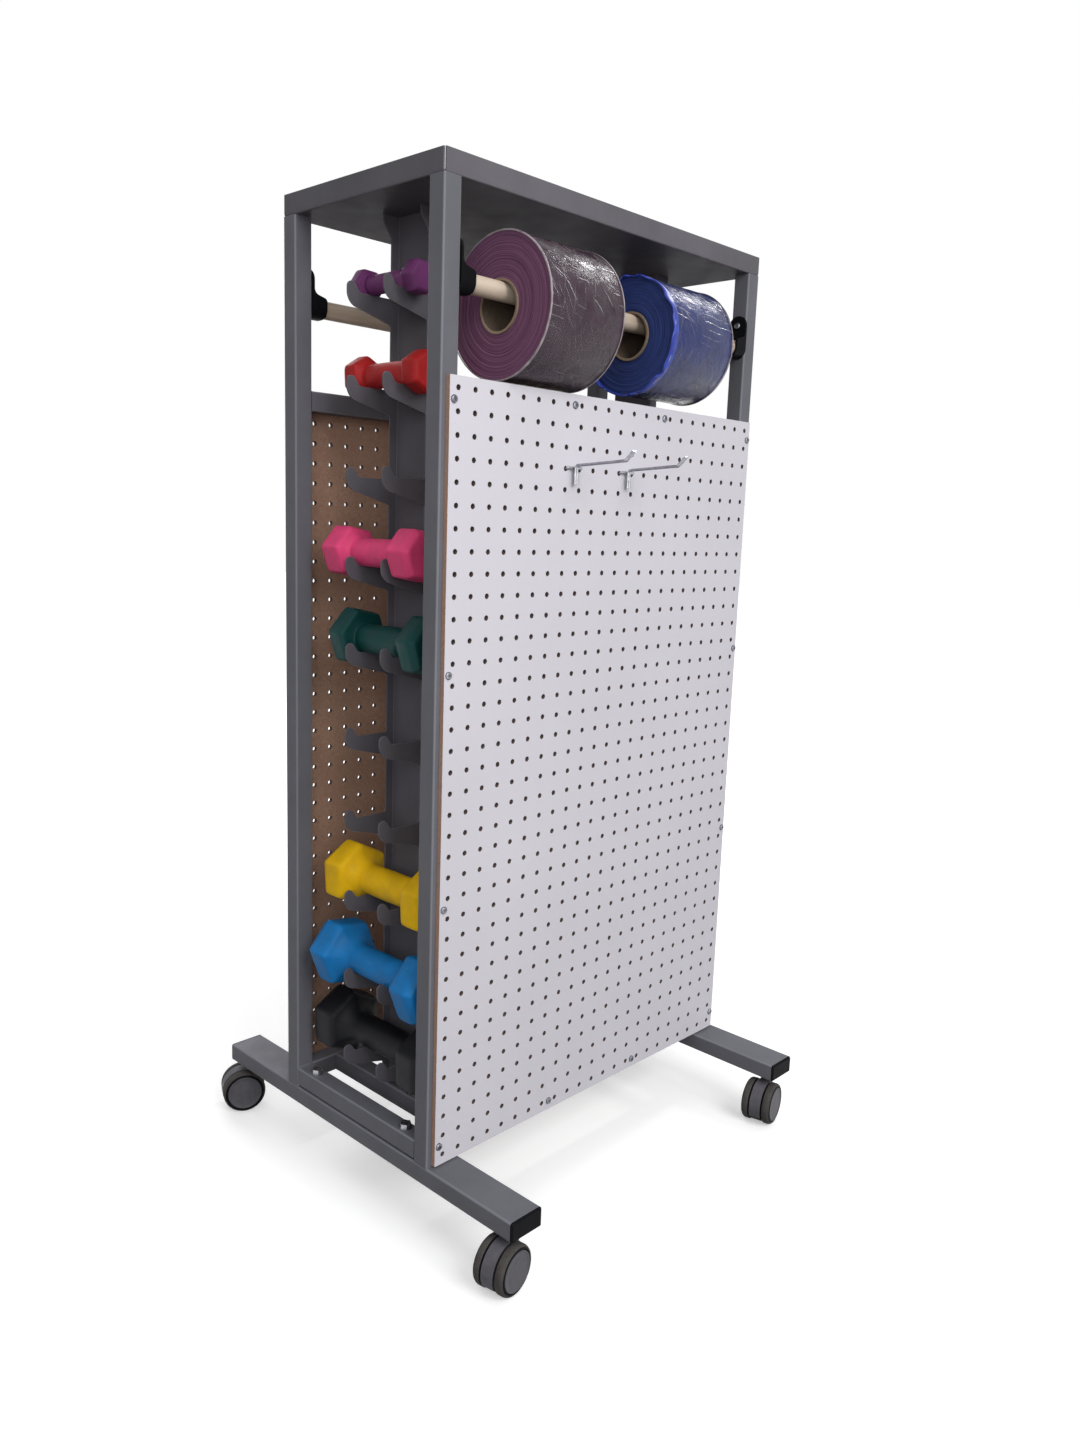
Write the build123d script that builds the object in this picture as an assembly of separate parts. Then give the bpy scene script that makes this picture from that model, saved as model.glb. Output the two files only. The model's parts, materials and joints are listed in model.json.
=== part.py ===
from build123d import *
import os
from math import cos, radians, sin, sqrt, tan

# Mobile double-sided pegboard rack with dumbbell columns and band-roll rods.
# Millimetres. X runs along the wide faces, Y from the front face to the back, Z up.
# The origin is on the floor, in the middle of the frame.

# --- Frame -----------------------------------------------------------------
FRAME_WIDTH = 600.0           # X, outside the posts
FRAME_DEPTH = 300.0           # Y, outside the posts
TUBE = 25.0                   # square tube, outside
TUBE_WALL = 1.5
TUBE_CORNER = 2.5
LEG_WIDTH = 50.0
LEG_HEIGHT = 25.0
LEG_LENGTH = 600.0            # with its two end caps
LEG_CORNER = 3.0
LEG_BOTTOM = 70.5
CAP_THICKNESS = 3.5
CAP_PLUG_DEPTH = 14.0
CAP_PLUG_WALL = 2.0
CAP_BEVEL = 2.0
STEM_NUT_FLATS = 17.0         # weld nut inside the leg
STEM_NUT_HEIGHT = 8.0
POST_BOTTOM = LEG_BOTTOM + LEG_HEIGHT
TRAY_BOTTOM = 1242.5
TRAY_HEIGHT = 25.0
SHEET = 2.0                   # folded sheet of the tray and the dumbbell columns
TRAY_CORNER_GAP = 0.3         # between two flanges that meet at a corner
BOTTOM_RAIL_GAP = 3.0         # spacer between the lower rails and the legs
BOTTOM_RAIL = POST_BOTTOM + BOTTOM_RAIL_GAP
TOP_RAIL = 1012.0             # underside of the upper rails
POST_X = FRAME_WIDTH / 2 - TUBE / 2
POST_Y = FRAME_DEPTH / 2 - TUBE / 2
BETWEEN_POSTS_X = POST_X - TUBE / 2
BETWEEN_POSTS_Y = POST_Y - TUBE / 2

# --- Pegboards -------------------------------------------------------------
PEG_PITCH = 25.4
PEG_RADIUS = 3.175
PEG_COLUMNS = 23
PEG_ROWS = 37
BOARD_WIDTH = 584.2
BOARD_BOTTOM = 97.9
BOARD_TOP = 1037.7
BOARD = 6.0
PEG_FIRST_ROW = 1025.0
DRILLED_STEP = 3              # the solid carries every third peg hole each way, and the used ones
MOUNT_HOLES = ((14, 12), (15, 12))
SCREW_SIDE_X = 286.0
SCREW_SIDE_ROWS = (0.5, 12.5, 23.5, 35.5)
SCREW_MIDDLE_X = 88.9
SCREW_MIDDLE_ROWS = (0.0, 36.0)

# --- Screws and bolts ------------------------------------------------------
SCREW_RADIUS = 2.1
SCREW_LENGTH = 16.0
SCREW_HEAD_RADIUS = 4.6
SCREW_HEAD_HEIGHT = 2.6
SCREW_SLACK = 0.2
SCREW_DOME = 1.8
SCREW_SLOT_LENGTH = 4.4
SCREW_SLOT_WIDTH = 0.9
SCREW_SLOT_DEPTH = 1.0
SCREW_TURN = 37.0             # each screw stopped a little further round than the last
HOLE_REACH = 4.0              # how far a screw hole's cutter runs each side of a wall
BOLT_Y = 95.0
BOLT_X = 288.0
BOLT_RADIUS = 4.0
BOLT_FLATS = 13.0
BOLT_HEAD = 5.3
BOLT_HOLE = 4.4
NUT_HEIGHT = 6.5
WASHER_RADIUS = 8.0
WASHER = 1.6
THREAD_SHOWING = 2.0          # past the nut

# --- Dumbbell columns ------------------------------------------------------
COLUMN_WEB_X = 209.5          # inner face of the web
COLUMN_EDGE_X = 222.7         # free edge of the flanges between the hooks
COLUMN_WIDTH = 71.0
COLUMN_FLARE = 12.4           # of the flanges where they meet the tray
COLUMN_FLARE_HEIGHT = 27.0
COLUMN_FLARE_UPRIGHT = 9.0
BEND_RADIUS = 3.0
HOOK_LEVELS = 10
HOOK_PITCH = 108.0
HOOK_TOP = 1157.8             # top of the highest hook's tip
HOOK_REACH = 65.8             # from the free edge to the outside of the tip
HOOK_FLOOR_DROP = 12.0        # cradle floor below the tip's top
HOOK_FLOOR_LENGTH = 47.4
HOOK_TIP_WIDTH = 10.4
HOOK_TIP_RADIUS = 6.7
HOOK_TIP_DEPTH = 25.7         # from the tip's top to its underside
HOOK_SLOPE = 12.0 / 46.0      # of the hook's underside
HOOK_HEEL_RADIUS = 17.5
HOOK_FLOOR_RADIUS = 8.0
HOOK_ROOT_RADIUS = 4.0
FLARE_RADIUS = 11.0
COLUMN_FOOT_HEIGHT = 6.0      # of the flange's low foot
COLUMN_FOOT_SET_BACK = 2.1
TAB_REACH = 1.8               # of the foot tab, in flange depths
TAB_SIDE_GAP = 1.0
BEAM_X = 223.5
FOOT_BOLT_Y = 22.0
FOOT_BOLT_RADIUS = 3.0
FOOT_BOLT_FLATS = 10.0
FOOT_BOLT_HEAD = 4.0
FOOT_BOLT_LENGTH = 14.0

# --- Rods and their brackets ----------------------------------------------
ROD_RADIUS = 11.0
ROD_Y = POST_Y
ROD_Z = 1139.5
ROD_END_GAP = 0.5
CUP_RADIUS = 11.3
CUP_WALL = 3.0
CUP_DEPTH = 22.0
CUP_TOP = 1150.5
BRACKET_PLATE = 3.0
BRACKET_TOP = 1185.0
BRACKET_SCREW_Z = 1171.3
BRACKET_NECK = 5.0            # the plate swells into the cup from this far above it
ROD_BEVEL = 1.0

# --- Band rolls: left end in X, width and radius --------------------------
CORE_INSIDE = 27.5
CORE_WALL = 3.0
CORE_STANDS_OUT = 0.6         # past each end of the band
FILM_SET_BACK = 1.0
BAND_BEVEL = 0.8
FILM = 0.4
CLEARANCE = 0.3
ROLLS = {
    "purple": (-204.4, 126.0, 81.8),
    "blue": (29.7, 127.0, 73.6),
}

# --- Dumbbells: level, X, Y, half length, head length, head radius, turn, handle radius
DUMBBELLS = {
    "purple": (0, -251.7, -3.0, 60.0, 21.0, 21.0, 57.0, 11.1),
    "red": (1, -246.2, 1.6, 69.4, 26.0, 26.0, 33.0, 14.4),
    "pink": (3, -259.2, 2.7, 85.6, 40.0, 34.3, 50.0, 17.1),
    "green": (4, -255.3, -13.0, 85.0, 33.0, 38.0, 48.0, 17.5),
    "yellow": (7, -244.4, -8.0, 102.4, 42.6, 44.8, 33.0, 19.5),
    "blue": (8, -259.1, -7.5, 106.9, 41.0, 47.2, 51.0, 19.2),
    "black": (9, -244.9, 0.7, 112.0, 46.0, 47.0, 31.0, 20.0),
}
HEAD_END_SCALE = 0.82         # all shares below are of the head's radius
HEAD_NECK_SCALE = 0.88
HEAD_CORNER = 0.2
HEAD_INNER_BEVEL = 0.14
HEAD_OUTER_BEVEL = 0.30
HEAD_EDGE = 0.12
HANDLE_END_SCALE = 0.95

# --- Peg hooks -------------------------------------------------------------
HOOK_WIRE = 1.5               # radius of the crossbar's wire
TWIN_WIRE = 1.6               # radius of the arm's two wires
HOOK_ROW = 3
HOOK_CENTRES = {"left": -88.9, "right": 12.7}
HOOK_HOLES = ((7, HOOK_ROW), (8, HOOK_ROW), (11, HOOK_ROW), (12, HOOK_ROW))
HOOK_TAIL_RADIUS = 13.0       # bend of the tails that pass through the board
HOOK_TAIL_ANGLE = 50.0
HOOK_FRONT_ANGLE = 27.5
WIRE_SPREAD = 1.65            # half the distance between the twin wires
WIRE_BEND = 4.5
WELD_SINK = 0.2               # how far the arm's wires are fused into the crossbar
HOOK_FOOT_DROP = 18.0         # heights from the row of holes
HOOK_NECK_RISE = 4.4
HOOK_ARM_RISE = 9.0
HOOK_TIP_RISE = 20.0
HOOK_ARM = 84.0               # from the board's face to the upturned tip
HOOK_TIP = 96.0

# --- Casters ---------------------------------------------------------------
CASTER_X = 275.0
CASTER_Y = 275.5
WHEEL_RADIUS = 30.5
WHEEL_WIDTH = 13.0
WHEEL_INNER = 9.4             # from the middle plane to a wheel's inner face
HUB_RADIUS = 24.7
HOOD_RADIUS = 31.0
HOOD_HALF = 8.2
HOOD_RIM = 4.0
HOOD_WEB_HALF = 2.5
HOOD_CUT = ((60, 48), (60, -40), (-62, -40), (-62, 6))   # corners of what is cut away below it
AXLE_BOSS_RADIUS = 8.0
AXLE_BOSS_HALF = 9.0
BARREL_RADIUS = 8.8
BARREL_BOTTOM = 38.0
STEM_BOTTOM = 42.5
STEM_TOP = LEG_BOTTOM + 14.0
CASTER_TRAIL = 17.5
HOUSING_TOP = 62.5
STEM_RADIUS = 5.0
AXLE_RADIUS = 3.0
AXLE_HALF = 20.5
HUB_PLATE = 1.6
TREAD_INNER_EDGE = 1.2
TREAD_OUTER_EDGE = 4.2
HUB_GROOVE = 0.4
HUB_GROOVE_DEPTH = 0.8
HUB_SLOPE = 0.1
RUNNING_FIT = 0.05
CASTER_TURNS = {"front_left": 9.0, "front_right": 12.0, "back_left": -25.0, "back_right": 171.0}

SIDES = {"left": -1, "right": 1}
FACES = {"front": -1, "back": 1}


def prism(axis, section, low, high):
    """A section drawn in the other two axes' own coordinates, run from low to high along an axis."""
    if axis == "x":
        plane = Plane.YZ.offset(low)
    elif axis == "y":
        plane = Plane.XZ.offset(-high)
    else:
        plane = Plane.XY.offset(low)
    return extrude(plane * section, high - low, dir=plane.z_dir)


def pin(axis, centre, radius, low, high):
    """A round bar along an axis through a centre given in the other two axes."""
    return prism(axis, Pos(*centre) * Circle(radius), low, high)


def ring(axis, centre, outer, inner, low, high):
    """A round tube along an axis."""
    return prism(axis, Pos(*centre) * (Circle(outer) - Circle(inner)), low, high)


def hexagon(flats):
    """A hexagon given by its width across flats."""
    return RegularPolygon(flats / sqrt(3), 6)


def rounded_face(corners):
    """A flat face through corners (u, v, fillet radius), joined by straight runs and tangent arcs."""
    entries = []
    exits = []
    middles = []
    for number, (u, v, radius) in enumerate(corners):
        point = Vector(u, v)
        before = (Vector(*corners[number - 1][:2]) - point).normalized()
        after = (Vector(*corners[(number + 1) % len(corners)][:2]) - point).normalized()
        if radius == 0:
            entries.append(point)
            exits.append(point)
            middles.append(None)
            continue
        half = radians(before.get_angle(after)) / 2
        setback = radius / tan(half)
        entries.append(point + before * setback)
        exits.append(point + after * setback)
        middles.append(point + (before + after).normalized() * (radius / sin(half) - radius))
    edges = []
    for number, middle in enumerate(middles):
        if middle is not None:
            edges.append(Edge.make_three_point_arc(entries[number], middle, exits[number]))
        following = entries[(number + 1) % len(corners)]
        if (following - exits[number]).length > 0.001:
            edges.append(Edge.make_line(exits[number], following))
    return Face(Wire(edges))


def tube_section(width, height, wall, corner):
    """The section of a rolled rectangular tube."""
    inner = RectangleRounded(width - 2 * wall, height - 2 * wall, corner - wall)
    return RectangleRounded(width, height, corner) - inner


def square_tube(axis, centre, low, high):
    """A length of the frame's square tube."""
    section = tube_section(TUBE, TUBE, TUBE_WALL, TUBE_CORNER)
    return prism(axis, Pos(*centre) * section, low, high)


def together(pieces):
    """Separate solids that share one node."""
    return Compound(children=[solid for piece in pieces for solid in piece.solids()])


def peg_x(column):
    return (column - (PEG_COLUMNS - 1) / 2) * PEG_PITCH


def peg_z(row):
    return PEG_FIRST_ROW - row * PEG_PITCH


def drilled_holes():
    """Column and row of the peg holes that the solid carries."""
    first = (PEG_COLUMNS - 1) // 2 % DRILLED_STEP
    grid = [(column, row) for column in range(first, PEG_COLUMNS, DRILLED_STEP)
            for row in range(0, PEG_ROWS, DRILLED_STEP)]
    return sorted(set(grid) | set(MOUNT_HOLES) | set(HOOK_HOLES))


def panel_screw_places():
    """X and Z of the screws that hold one pegboard."""
    places = [(side * SCREW_SIDE_X, peg_z(row)) for side in (-1, 1) for row in SCREW_SIDE_ROWS]
    places += [(side * SCREW_MIDDLE_X, peg_z(row)) for side in (-1, 1) for row in SCREW_MIDDLE_ROWS]
    return places


# --- Welded frame ----------------------------------------------------------
def post(side, face):
    """A post, drilled for its panel screws on the outer face and its bracket screw on the inner one."""
    body = square_tube("z", (side * POST_X, face * POST_Y), POST_BOTTOM, TRAY_BOTTOM)
    outside = face * FRAME_DEPTH / 2
    hole = SCREW_RADIUS + SCREW_SLACK
    for row in SCREW_SIDE_ROWS:
        body -= pin("y", (side * SCREW_SIDE_X, peg_z(row)), hole, outside - HOLE_REACH, outside + HOLE_REACH)
    inside = side * BETWEEN_POSTS_X
    return body - pin("x", (face * POST_Y, BRACKET_SCREW_Z), hole, inside - HOLE_REACH, inside + HOLE_REACH)


def long_rail(face, underside, row):
    """A rail between the posts of one face, drilled for the panel's middle screws."""
    body = square_tube("x", (face * POST_Y, underside + TUBE / 2), -BETWEEN_POSTS_X, BETWEEN_POSTS_X)
    outside = face * FRAME_DEPTH / 2
    for side in (-1, 1):
        place = (side * SCREW_MIDDLE_X, peg_z(row))
        body -= pin("y", place, SCREW_RADIUS + SCREW_SLACK, outside - HOLE_REACH, outside + HOLE_REACH)
    return body


def end_rail(side):
    """The rail above a leg, between the posts of one end, drilled for its two bolts."""
    centre = (side * POST_X, BOTTOM_RAIL + TUBE / 2)
    body = square_tube("y", centre, -BETWEEN_POSTS_Y, BETWEEN_POSTS_Y)
    for bolt_y in (-BOLT_Y, BOLT_Y):
        body -= pin("z", (side * BOLT_X, bolt_y), BOLT_HOLE, BOTTOM_RAIL - 1, BOTTOM_RAIL + TUBE + 1)
    return body


def cross_beam(side):
    """The beam between the long lower rails that a dumbbell column stands on."""
    body = square_tube("y", (side * BEAM_X, BOTTOM_RAIL + TUBE / 2), -BETWEEN_POSTS_Y, BETWEEN_POSTS_Y)
    top = BOTTOM_RAIL + TUBE
    for bolt_y in (-FOOT_BOLT_Y, FOOT_BOLT_Y):
        body -= pin("z", (side * BEAM_X, bolt_y), FOOT_BOLT_RADIUS + SCREW_SLACK, top - HOLE_REACH, top + 1)
    return body


def leg(side):
    """A leg of rectangular tube, with a weld nut inside each end for the caster's stem."""
    centre = (side * CASTER_X, LEG_BOTTOM + LEG_HEIGHT / 2)
    reach = LEG_LENGTH / 2 - CAP_THICKNESS
    section = tube_section(LEG_WIDTH, LEG_HEIGHT, TUBE_WALL, LEG_CORNER)
    body = prism("y", Pos(*centre) * section, -reach, reach)
    floor = LEG_BOTTOM + TUBE_WALL
    nut_top = floor + STEM_NUT_HEIGHT
    for caster_y in (-CASTER_Y, CASTER_Y):
        place = (side * CASTER_X, caster_y)
        body += prism("z", Pos(*place) * hexagon(STEM_NUT_FLATS), floor, nut_top)
        body -= pin("z", place, STEM_RADIUS + RUNNING_FIT, LEG_BOTTOM - 1, nut_top + 1)
    for bolt_y in (-BOLT_Y, BOLT_Y):
        body -= pin("z", (side * BOLT_X, bolt_y), BOLT_HOLE, POST_BOTTOM - HOLE_REACH, POST_BOTTOM + 1)
    return body


def leg_end_cap(side, face):
    """A bevelled plastic cap with a hollow plug that grips the inside of the leg."""
    reach = LEG_LENGTH / 2
    centre = (side * CASTER_X, LEG_BOTTOM + LEG_HEIGHT / 2)
    plate = prism("y", Pos(*centre) * RectangleRounded(LEG_WIDTH, LEG_HEIGHT, LEG_CORNER),
                  reach - CAP_THICKNESS, reach)
    plate = chamfer(plate.faces().sort_by(Axis.Y)[-1].edges(), CAP_BEVEL)
    plug = tube_section(LEG_WIDTH - 2 * TUBE_WALL, LEG_HEIGHT - 2 * TUBE_WALL, CAP_PLUG_WALL, TUBE_CORNER)
    cap = plate + prism("y", Pos(*centre) * plug, reach - CAP_PLUG_DEPTH, reach - CAP_THICKNESS)
    return cap if face > 0 else mirror(cap, about=Plane.XZ)


def tray_top():
    """The folded tray: a flat floor, four upturned flanges, and corners left open for folding."""
    floor = RectangleRounded(FRAME_WIDTH, FRAME_DEPTH, 0.6)
    body = prism("z", floor, TRAY_BOTTOM, TRAY_BOTTOM + TRAY_HEIGHT)
    body = fillet(body.faces().sort_by(Axis.Z)[0].edges(), BEND_RADIUS)
    hollow = prism("z", Rectangle(FRAME_WIDTH - 2 * SHEET, FRAME_DEPTH - 2 * SHEET),
                   TRAY_BOTTOM + SHEET, TRAY_BOTTOM + TRAY_HEIGHT + 1)
    hollow = fillet(hollow.faces().sort_by(Axis.Z)[0].edges(), BEND_RADIUS - SHEET)
    body -= hollow
    notch = SHEET + TRAY_CORNER_GAP
    for side in (-1, 1):
        for face in (-1, 1):
            corner = Pos(side * (FRAME_WIDTH - notch) / 2, face * (FRAME_DEPTH - notch) / 2)
            body -= prism("z", corner * Rectangle(notch, notch), TRAY_BOTTOM - 1,
                          TRAY_BOTTOM + TRAY_HEIGHT + 1)
    return body


# --- Dumbbell columns ------------------------------------------------------
def hook_corners(top):
    """One hook's outline in distance from the column's mid plane and height, from above to below."""
    floor = top - HOOK_FLOOR_DROP
    tip = COLUMN_EDGE_X + HOOK_REACH
    under = top - HOOK_TIP_DEPTH
    return [
        (COLUMN_EDGE_X, floor, HOOK_ROOT_RADIUS),
        (COLUMN_EDGE_X + HOOK_FLOOR_LENGTH, floor, HOOK_FLOOR_RADIUS),
        (tip - HOOK_TIP_WIDTH, top, HOOK_TIP_RADIUS),
        (tip, top, HOOK_TIP_RADIUS),
        (tip, under, HOOK_HEEL_RADIUS),
        (COLUMN_EDGE_X, under - HOOK_REACH * HOOK_SLOPE, HOOK_ROOT_RADIUS),
    ]


def flange_face():
    """A flange of the right column: a narrow strip, flared at both ends, with the ten hooks."""
    bottom = BOTTOM_RAIL + TUBE
    web = COLUMN_WEB_X + BEND_RADIUS
    flare = COLUMN_EDGE_X + COLUMN_FLARE
    rise = COLUMN_FLARE_HEIGHT
    corners = [(web, bottom, 0), (web, TRAY_BOTTOM, 0), (flare, TRAY_BOTTOM, 0)]
    corners += [(flare, TRAY_BOTTOM - COLUMN_FLARE_UPRIGHT, FLARE_RADIUS)]
    corners += [(COLUMN_EDGE_X, TRAY_BOTTOM - rise, FLARE_RADIUS)]
    for level in range(HOOK_LEVELS):
        corners += hook_corners(HOOK_TOP - level * HOOK_PITCH)
    foot = bottom + COLUMN_FOOT_HEIGHT
    toe = flare - COLUMN_FOOT_SET_BACK
    corners += [(COLUMN_EDGE_X, foot + 5.0, BEND_RADIUS), (toe, foot, BEND_RADIUS), (toe, bottom, 0)]
    return rounded_face(corners)


def right_column():
    """A channel folded from one sheet, open towards the end of the rack, with a bolted foot tab."""
    bottom = BOTTOM_RAIL + TUBE
    depth = COLUMN_EDGE_X - COLUMN_WEB_X
    half = COLUMN_WIDTH / 2
    outer = rounded_face([
        (COLUMN_WEB_X, -half, BEND_RADIUS),
        (COLUMN_EDGE_X, -half, 0),
        (COLUMN_EDGE_X, half, 0),
        (COLUMN_WEB_X, half, BEND_RADIUS),
    ])
    inner = rounded_face([
        (COLUMN_WEB_X + SHEET, SHEET - half, BEND_RADIUS - SHEET),
        (COLUMN_EDGE_X + 1, SHEET - half, 0),
        (COLUMN_EDGE_X + 1, half - SHEET, 0),
        (COLUMN_WEB_X + SHEET, half - SHEET, BEND_RADIUS - SHEET),
    ])
    body = prism("z", outer, bottom, TRAY_BOTTOM) - prism("z", inner, bottom, TRAY_BOTTOM)
    flange = flange_face()
    body += prism("y", flange, -half, SHEET - half)
    body += prism("y", flange, half - SHEET, half)
    reach = TAB_REACH * depth
    tab_width = COLUMN_WIDTH - 2 * (SHEET + TAB_SIDE_GAP)
    tab = Pos(COLUMN_WEB_X + (SHEET + reach) / 2, 0) * Rectangle(reach, tab_width)
    foot = prism("z", tab, bottom, bottom + SHEET)
    for bolt_y in (-FOOT_BOLT_Y, FOOT_BOLT_Y):
        foot -= pin("z", (BEAM_X, bolt_y), FOOT_BOLT_RADIUS + SCREW_SLACK, bottom - 1, bottom + HOLE_REACH)
    return body + foot


# --- Pegboards and fasteners ----------------------------------------------
def pegboard(face):
    """A perforated hardboard panel with its pegs' grid and its screw holes."""
    middle = (BOARD_BOTTOM + BOARD_TOP) / 2
    outline = Pos(0, middle) * Rectangle(BOARD_WIDTH, BOARD_TOP - BOARD_BOTTOM)
    holes = []
    for column, row in drilled_holes():
        holes.append(Wire.make_circle(PEG_RADIUS, Plane(origin=(peg_x(column), peg_z(row), 0))))
    for place in panel_screw_places():
        holes.append(Wire.make_circle(SCREW_RADIUS + SCREW_SLACK, Plane(origin=(*place, 0))))
    board = Face(outline.face().outer_wire(), holes)
    near = face * FRAME_DEPTH / 2
    return prism("y", board, min(near, near + face * BOARD), max(near, near + face * BOARD))


def pan_head_screw():
    """A pan-head screw with a cross recess, its head's seat at Z 0 and its point down."""
    head = Pos(0, 0, SCREW_HEAD_HEIGHT / 2) * Cylinder(SCREW_HEAD_RADIUS, SCREW_HEAD_HEIGHT)
    head = fillet(head.edges().sort_by(Axis.Z)[-1], SCREW_DOME)
    slot = Box(SCREW_SLOT_LENGTH, SCREW_SLOT_WIDTH, 2 * SCREW_SLOT_DEPTH)
    cross = Pos(0, 0, SCREW_HEAD_HEIGHT) * (slot + Rot(0, 0, 90) * slot)
    shank = Pos(0, 0, -SCREW_LENGTH / 2) * Cylinder(SCREW_RADIUS, SCREW_LENGTH)
    shank = chamfer(shank.edges().sort_by(Axis.Z)[0], SCREW_RADIUS / 2)
    return head - cross + shank


def screws():
    """The screws of both pegboards and the one in each rod bracket."""
    screw = pan_head_screw()
    seats = []
    for face in FACES.values():
        for x, z in panel_screw_places():
            seats.append(Pos(x, face * (FRAME_DEPTH / 2 + BOARD), z) * Rot(-90 * face, 0, 0))
        for side in SIDES.values():
            plate = side * (BETWEEN_POSTS_X - BRACKET_PLATE)
            seats.append(Pos(plate, face * POST_Y, BRACKET_SCREW_Z) * Rot(0, -90 * side, 0))
    return together([seat * Rot(0, 0, SCREW_TURN * number) * screw for number, seat in enumerate(seats)])


def frame_bolt(side, bolt_y):
    """A hex bolt with a washer, the spacer between rail and leg, and a weld nut inside the leg."""
    centre = (side * BOLT_X, bolt_y)
    seat = BOTTOM_RAIL + TUBE
    top = seat + WASHER
    bolt = prism("z", Pos(*centre) * hexagon(BOLT_FLATS), top, top + BOLT_HEAD)
    nut_top = POST_BOTTOM - TUBE_WALL
    nut_bottom = nut_top - NUT_HEIGHT
    bolt += pin("z", centre, BOLT_RADIUS, nut_bottom - THREAD_SHOWING, top)
    washer = ring("z", centre, WASHER_RADIUS, BOLT_RADIUS, seat, top)
    spacer = ring("z", centre, WASHER_RADIUS, BOLT_RADIUS, POST_BOTTOM, BOTTOM_RAIL)
    nut = prism("z", Pos(*centre) * (hexagon(BOLT_FLATS) - Circle(BOLT_RADIUS)), nut_bottom, nut_top)
    return [bolt, washer, spacer, nut]


def foot_bolt(side, bolt_y):
    """A short bolt that holds a column's foot tab to its beam."""
    centre = (side * BEAM_X, bolt_y)
    seat = BOTTOM_RAIL + TUBE + SHEET
    bolt = prism("z", Pos(*centre) * hexagon(FOOT_BOLT_FLATS), seat, seat + FOOT_BOLT_HEAD)
    return [bolt + pin("z", centre, FOOT_BOLT_RADIUS, seat - FOOT_BOLT_LENGTH, seat)]


def hex_bolts():
    pieces = []
    for side in SIDES.values():
        for way in (-1, 1):
            pieces += frame_bolt(side, way * BOLT_Y)
            pieces += foot_bolt(side, way * FOOT_BOLT_Y)
    return together(pieces)


# --- Rod brackets and rods -------------------------------------------------
def right_bracket():
    """The front right bracket: a screwed plate that swells into a cup, open at the top."""
    inner = BETWEEN_POSTS_X - CUP_DEPTH
    plate = BETWEEN_POSTS_X - BRACKET_PLATE
    wide = CUP_RADIUS + CUP_WALL
    side_view = rounded_face([
        (BETWEEN_POSTS_X, ROD_Z - wide, 0),
        (BETWEEN_POSTS_X, BRACKET_TOP, 0),
        (plate, BRACKET_TOP, 1.0),
        (plate, CUP_TOP + BRACKET_NECK, 8.0),
        (inner, CUP_TOP, BRACKET_NECK),
        (inner, ROD_Z - wide, BRACKET_NECK),
    ])
    front_view = rounded_face([
        (-ROD_Y - wide, ROD_Z - wide, wide - 0.1),
        (-ROD_Y - wide, BRACKET_TOP, wide - 0.1),
        (-ROD_Y + wide, BRACKET_TOP, wide - 0.1),
        (-ROD_Y + wide, ROD_Z - wide, wide - 0.1),
    ])
    body = prism("y", side_view, -ROD_Y - wide, -ROD_Y + wide)
    body = body & prism("x", front_view, inner, BETWEEN_POSTS_X)
    slot_height = BRACKET_TOP - ROD_Z
    slot = Pos(-ROD_Y, ROD_Z) * (Circle(CUP_RADIUS)
                                 + Pos(0, slot_height / 2) * Rectangle(2 * CUP_RADIUS, slot_height))
    body -= prism("x", slot, inner - 1, plate)
    hole = SCREW_RADIUS + SCREW_SLACK
    return body - pin("x", (-ROD_Y, BRACKET_SCREW_Z), hole, plate - 1, BETWEEN_POSTS_X + 1)


def rod(face):
    """A wooden rod that lies in two brackets, with softened ends."""
    reach = BETWEEN_POSTS_X - BRACKET_PLATE - ROD_END_GAP
    body = pin("x", (face * ROD_Y, ROD_Z), ROD_RADIUS, -reach, reach)
    return chamfer(body.edges().filter_by(GeomType.CIRCLE), ROD_BEVEL)


# --- Band rolls ------------------------------------------------------------
ROLL_Z = ROD_Z + ROD_RADIUS + CLEARANCE - CORE_INSIDE


def roll_pieces(start, width, radius):
    """A wound band on a card core, with a clear film round it; it hangs on the rod by its core."""
    centre = (-ROD_Y, ROLL_Z)
    end = start + width
    core_outside = CORE_INSIDE + CORE_WALL
    core = ring("x", centre, core_outside, CORE_INSIDE, start - CORE_STANDS_OUT, end + CORE_STANDS_OUT)
    band = ring("x", centre, radius, core_outside, start, end)
    rims = band.edges().filter_by(GeomType.CIRCLE).sort_by(SortBy.RADIUS)[-2:]
    band = chamfer(rims, BAND_BEVEL)
    film = ring("x", centre, radius + FILM, radius, start + FILM_SET_BACK, end - FILM_SET_BACK)
    return {"core": core, "band": band, "film": film}


# --- Dumbbells -------------------------------------------------------------
def hex_face(radius, turn):
    """A hexagon with softened corners, in X and Z."""
    corners = []
    for number in range(6):
        angle = radians(turn + 60 * number)
        corners.append((radius * cos(angle), radius * sin(angle), HEAD_CORNER * radius))
    return rounded_face(corners)


def dumbbell_head(inner, length, radius, turn):
    """A hexagonal head that narrows towards both of its ends."""
    stations = [(inner, HEAD_NECK_SCALE), (inner + HEAD_INNER_BEVEL * radius, 1.0)]
    stations += [(inner + length - HEAD_OUTER_BEVEL * radius, 1.0), (inner + length, HEAD_END_SCALE)]
    faces = [Plane.XZ.offset(-y) * hex_face(scale * radius, turn) for y, scale in stations]
    head = loft([faces[0], faces[1]], ruled=True)
    head += extrude(faces[2], stations[2][0] - stations[1][0])
    head += loft([faces[2], faces[3]], ruled=True)
    return fillet(head.faces().sort_by(Axis.Y)[-1].edges(), HEAD_EDGE * radius)


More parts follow.
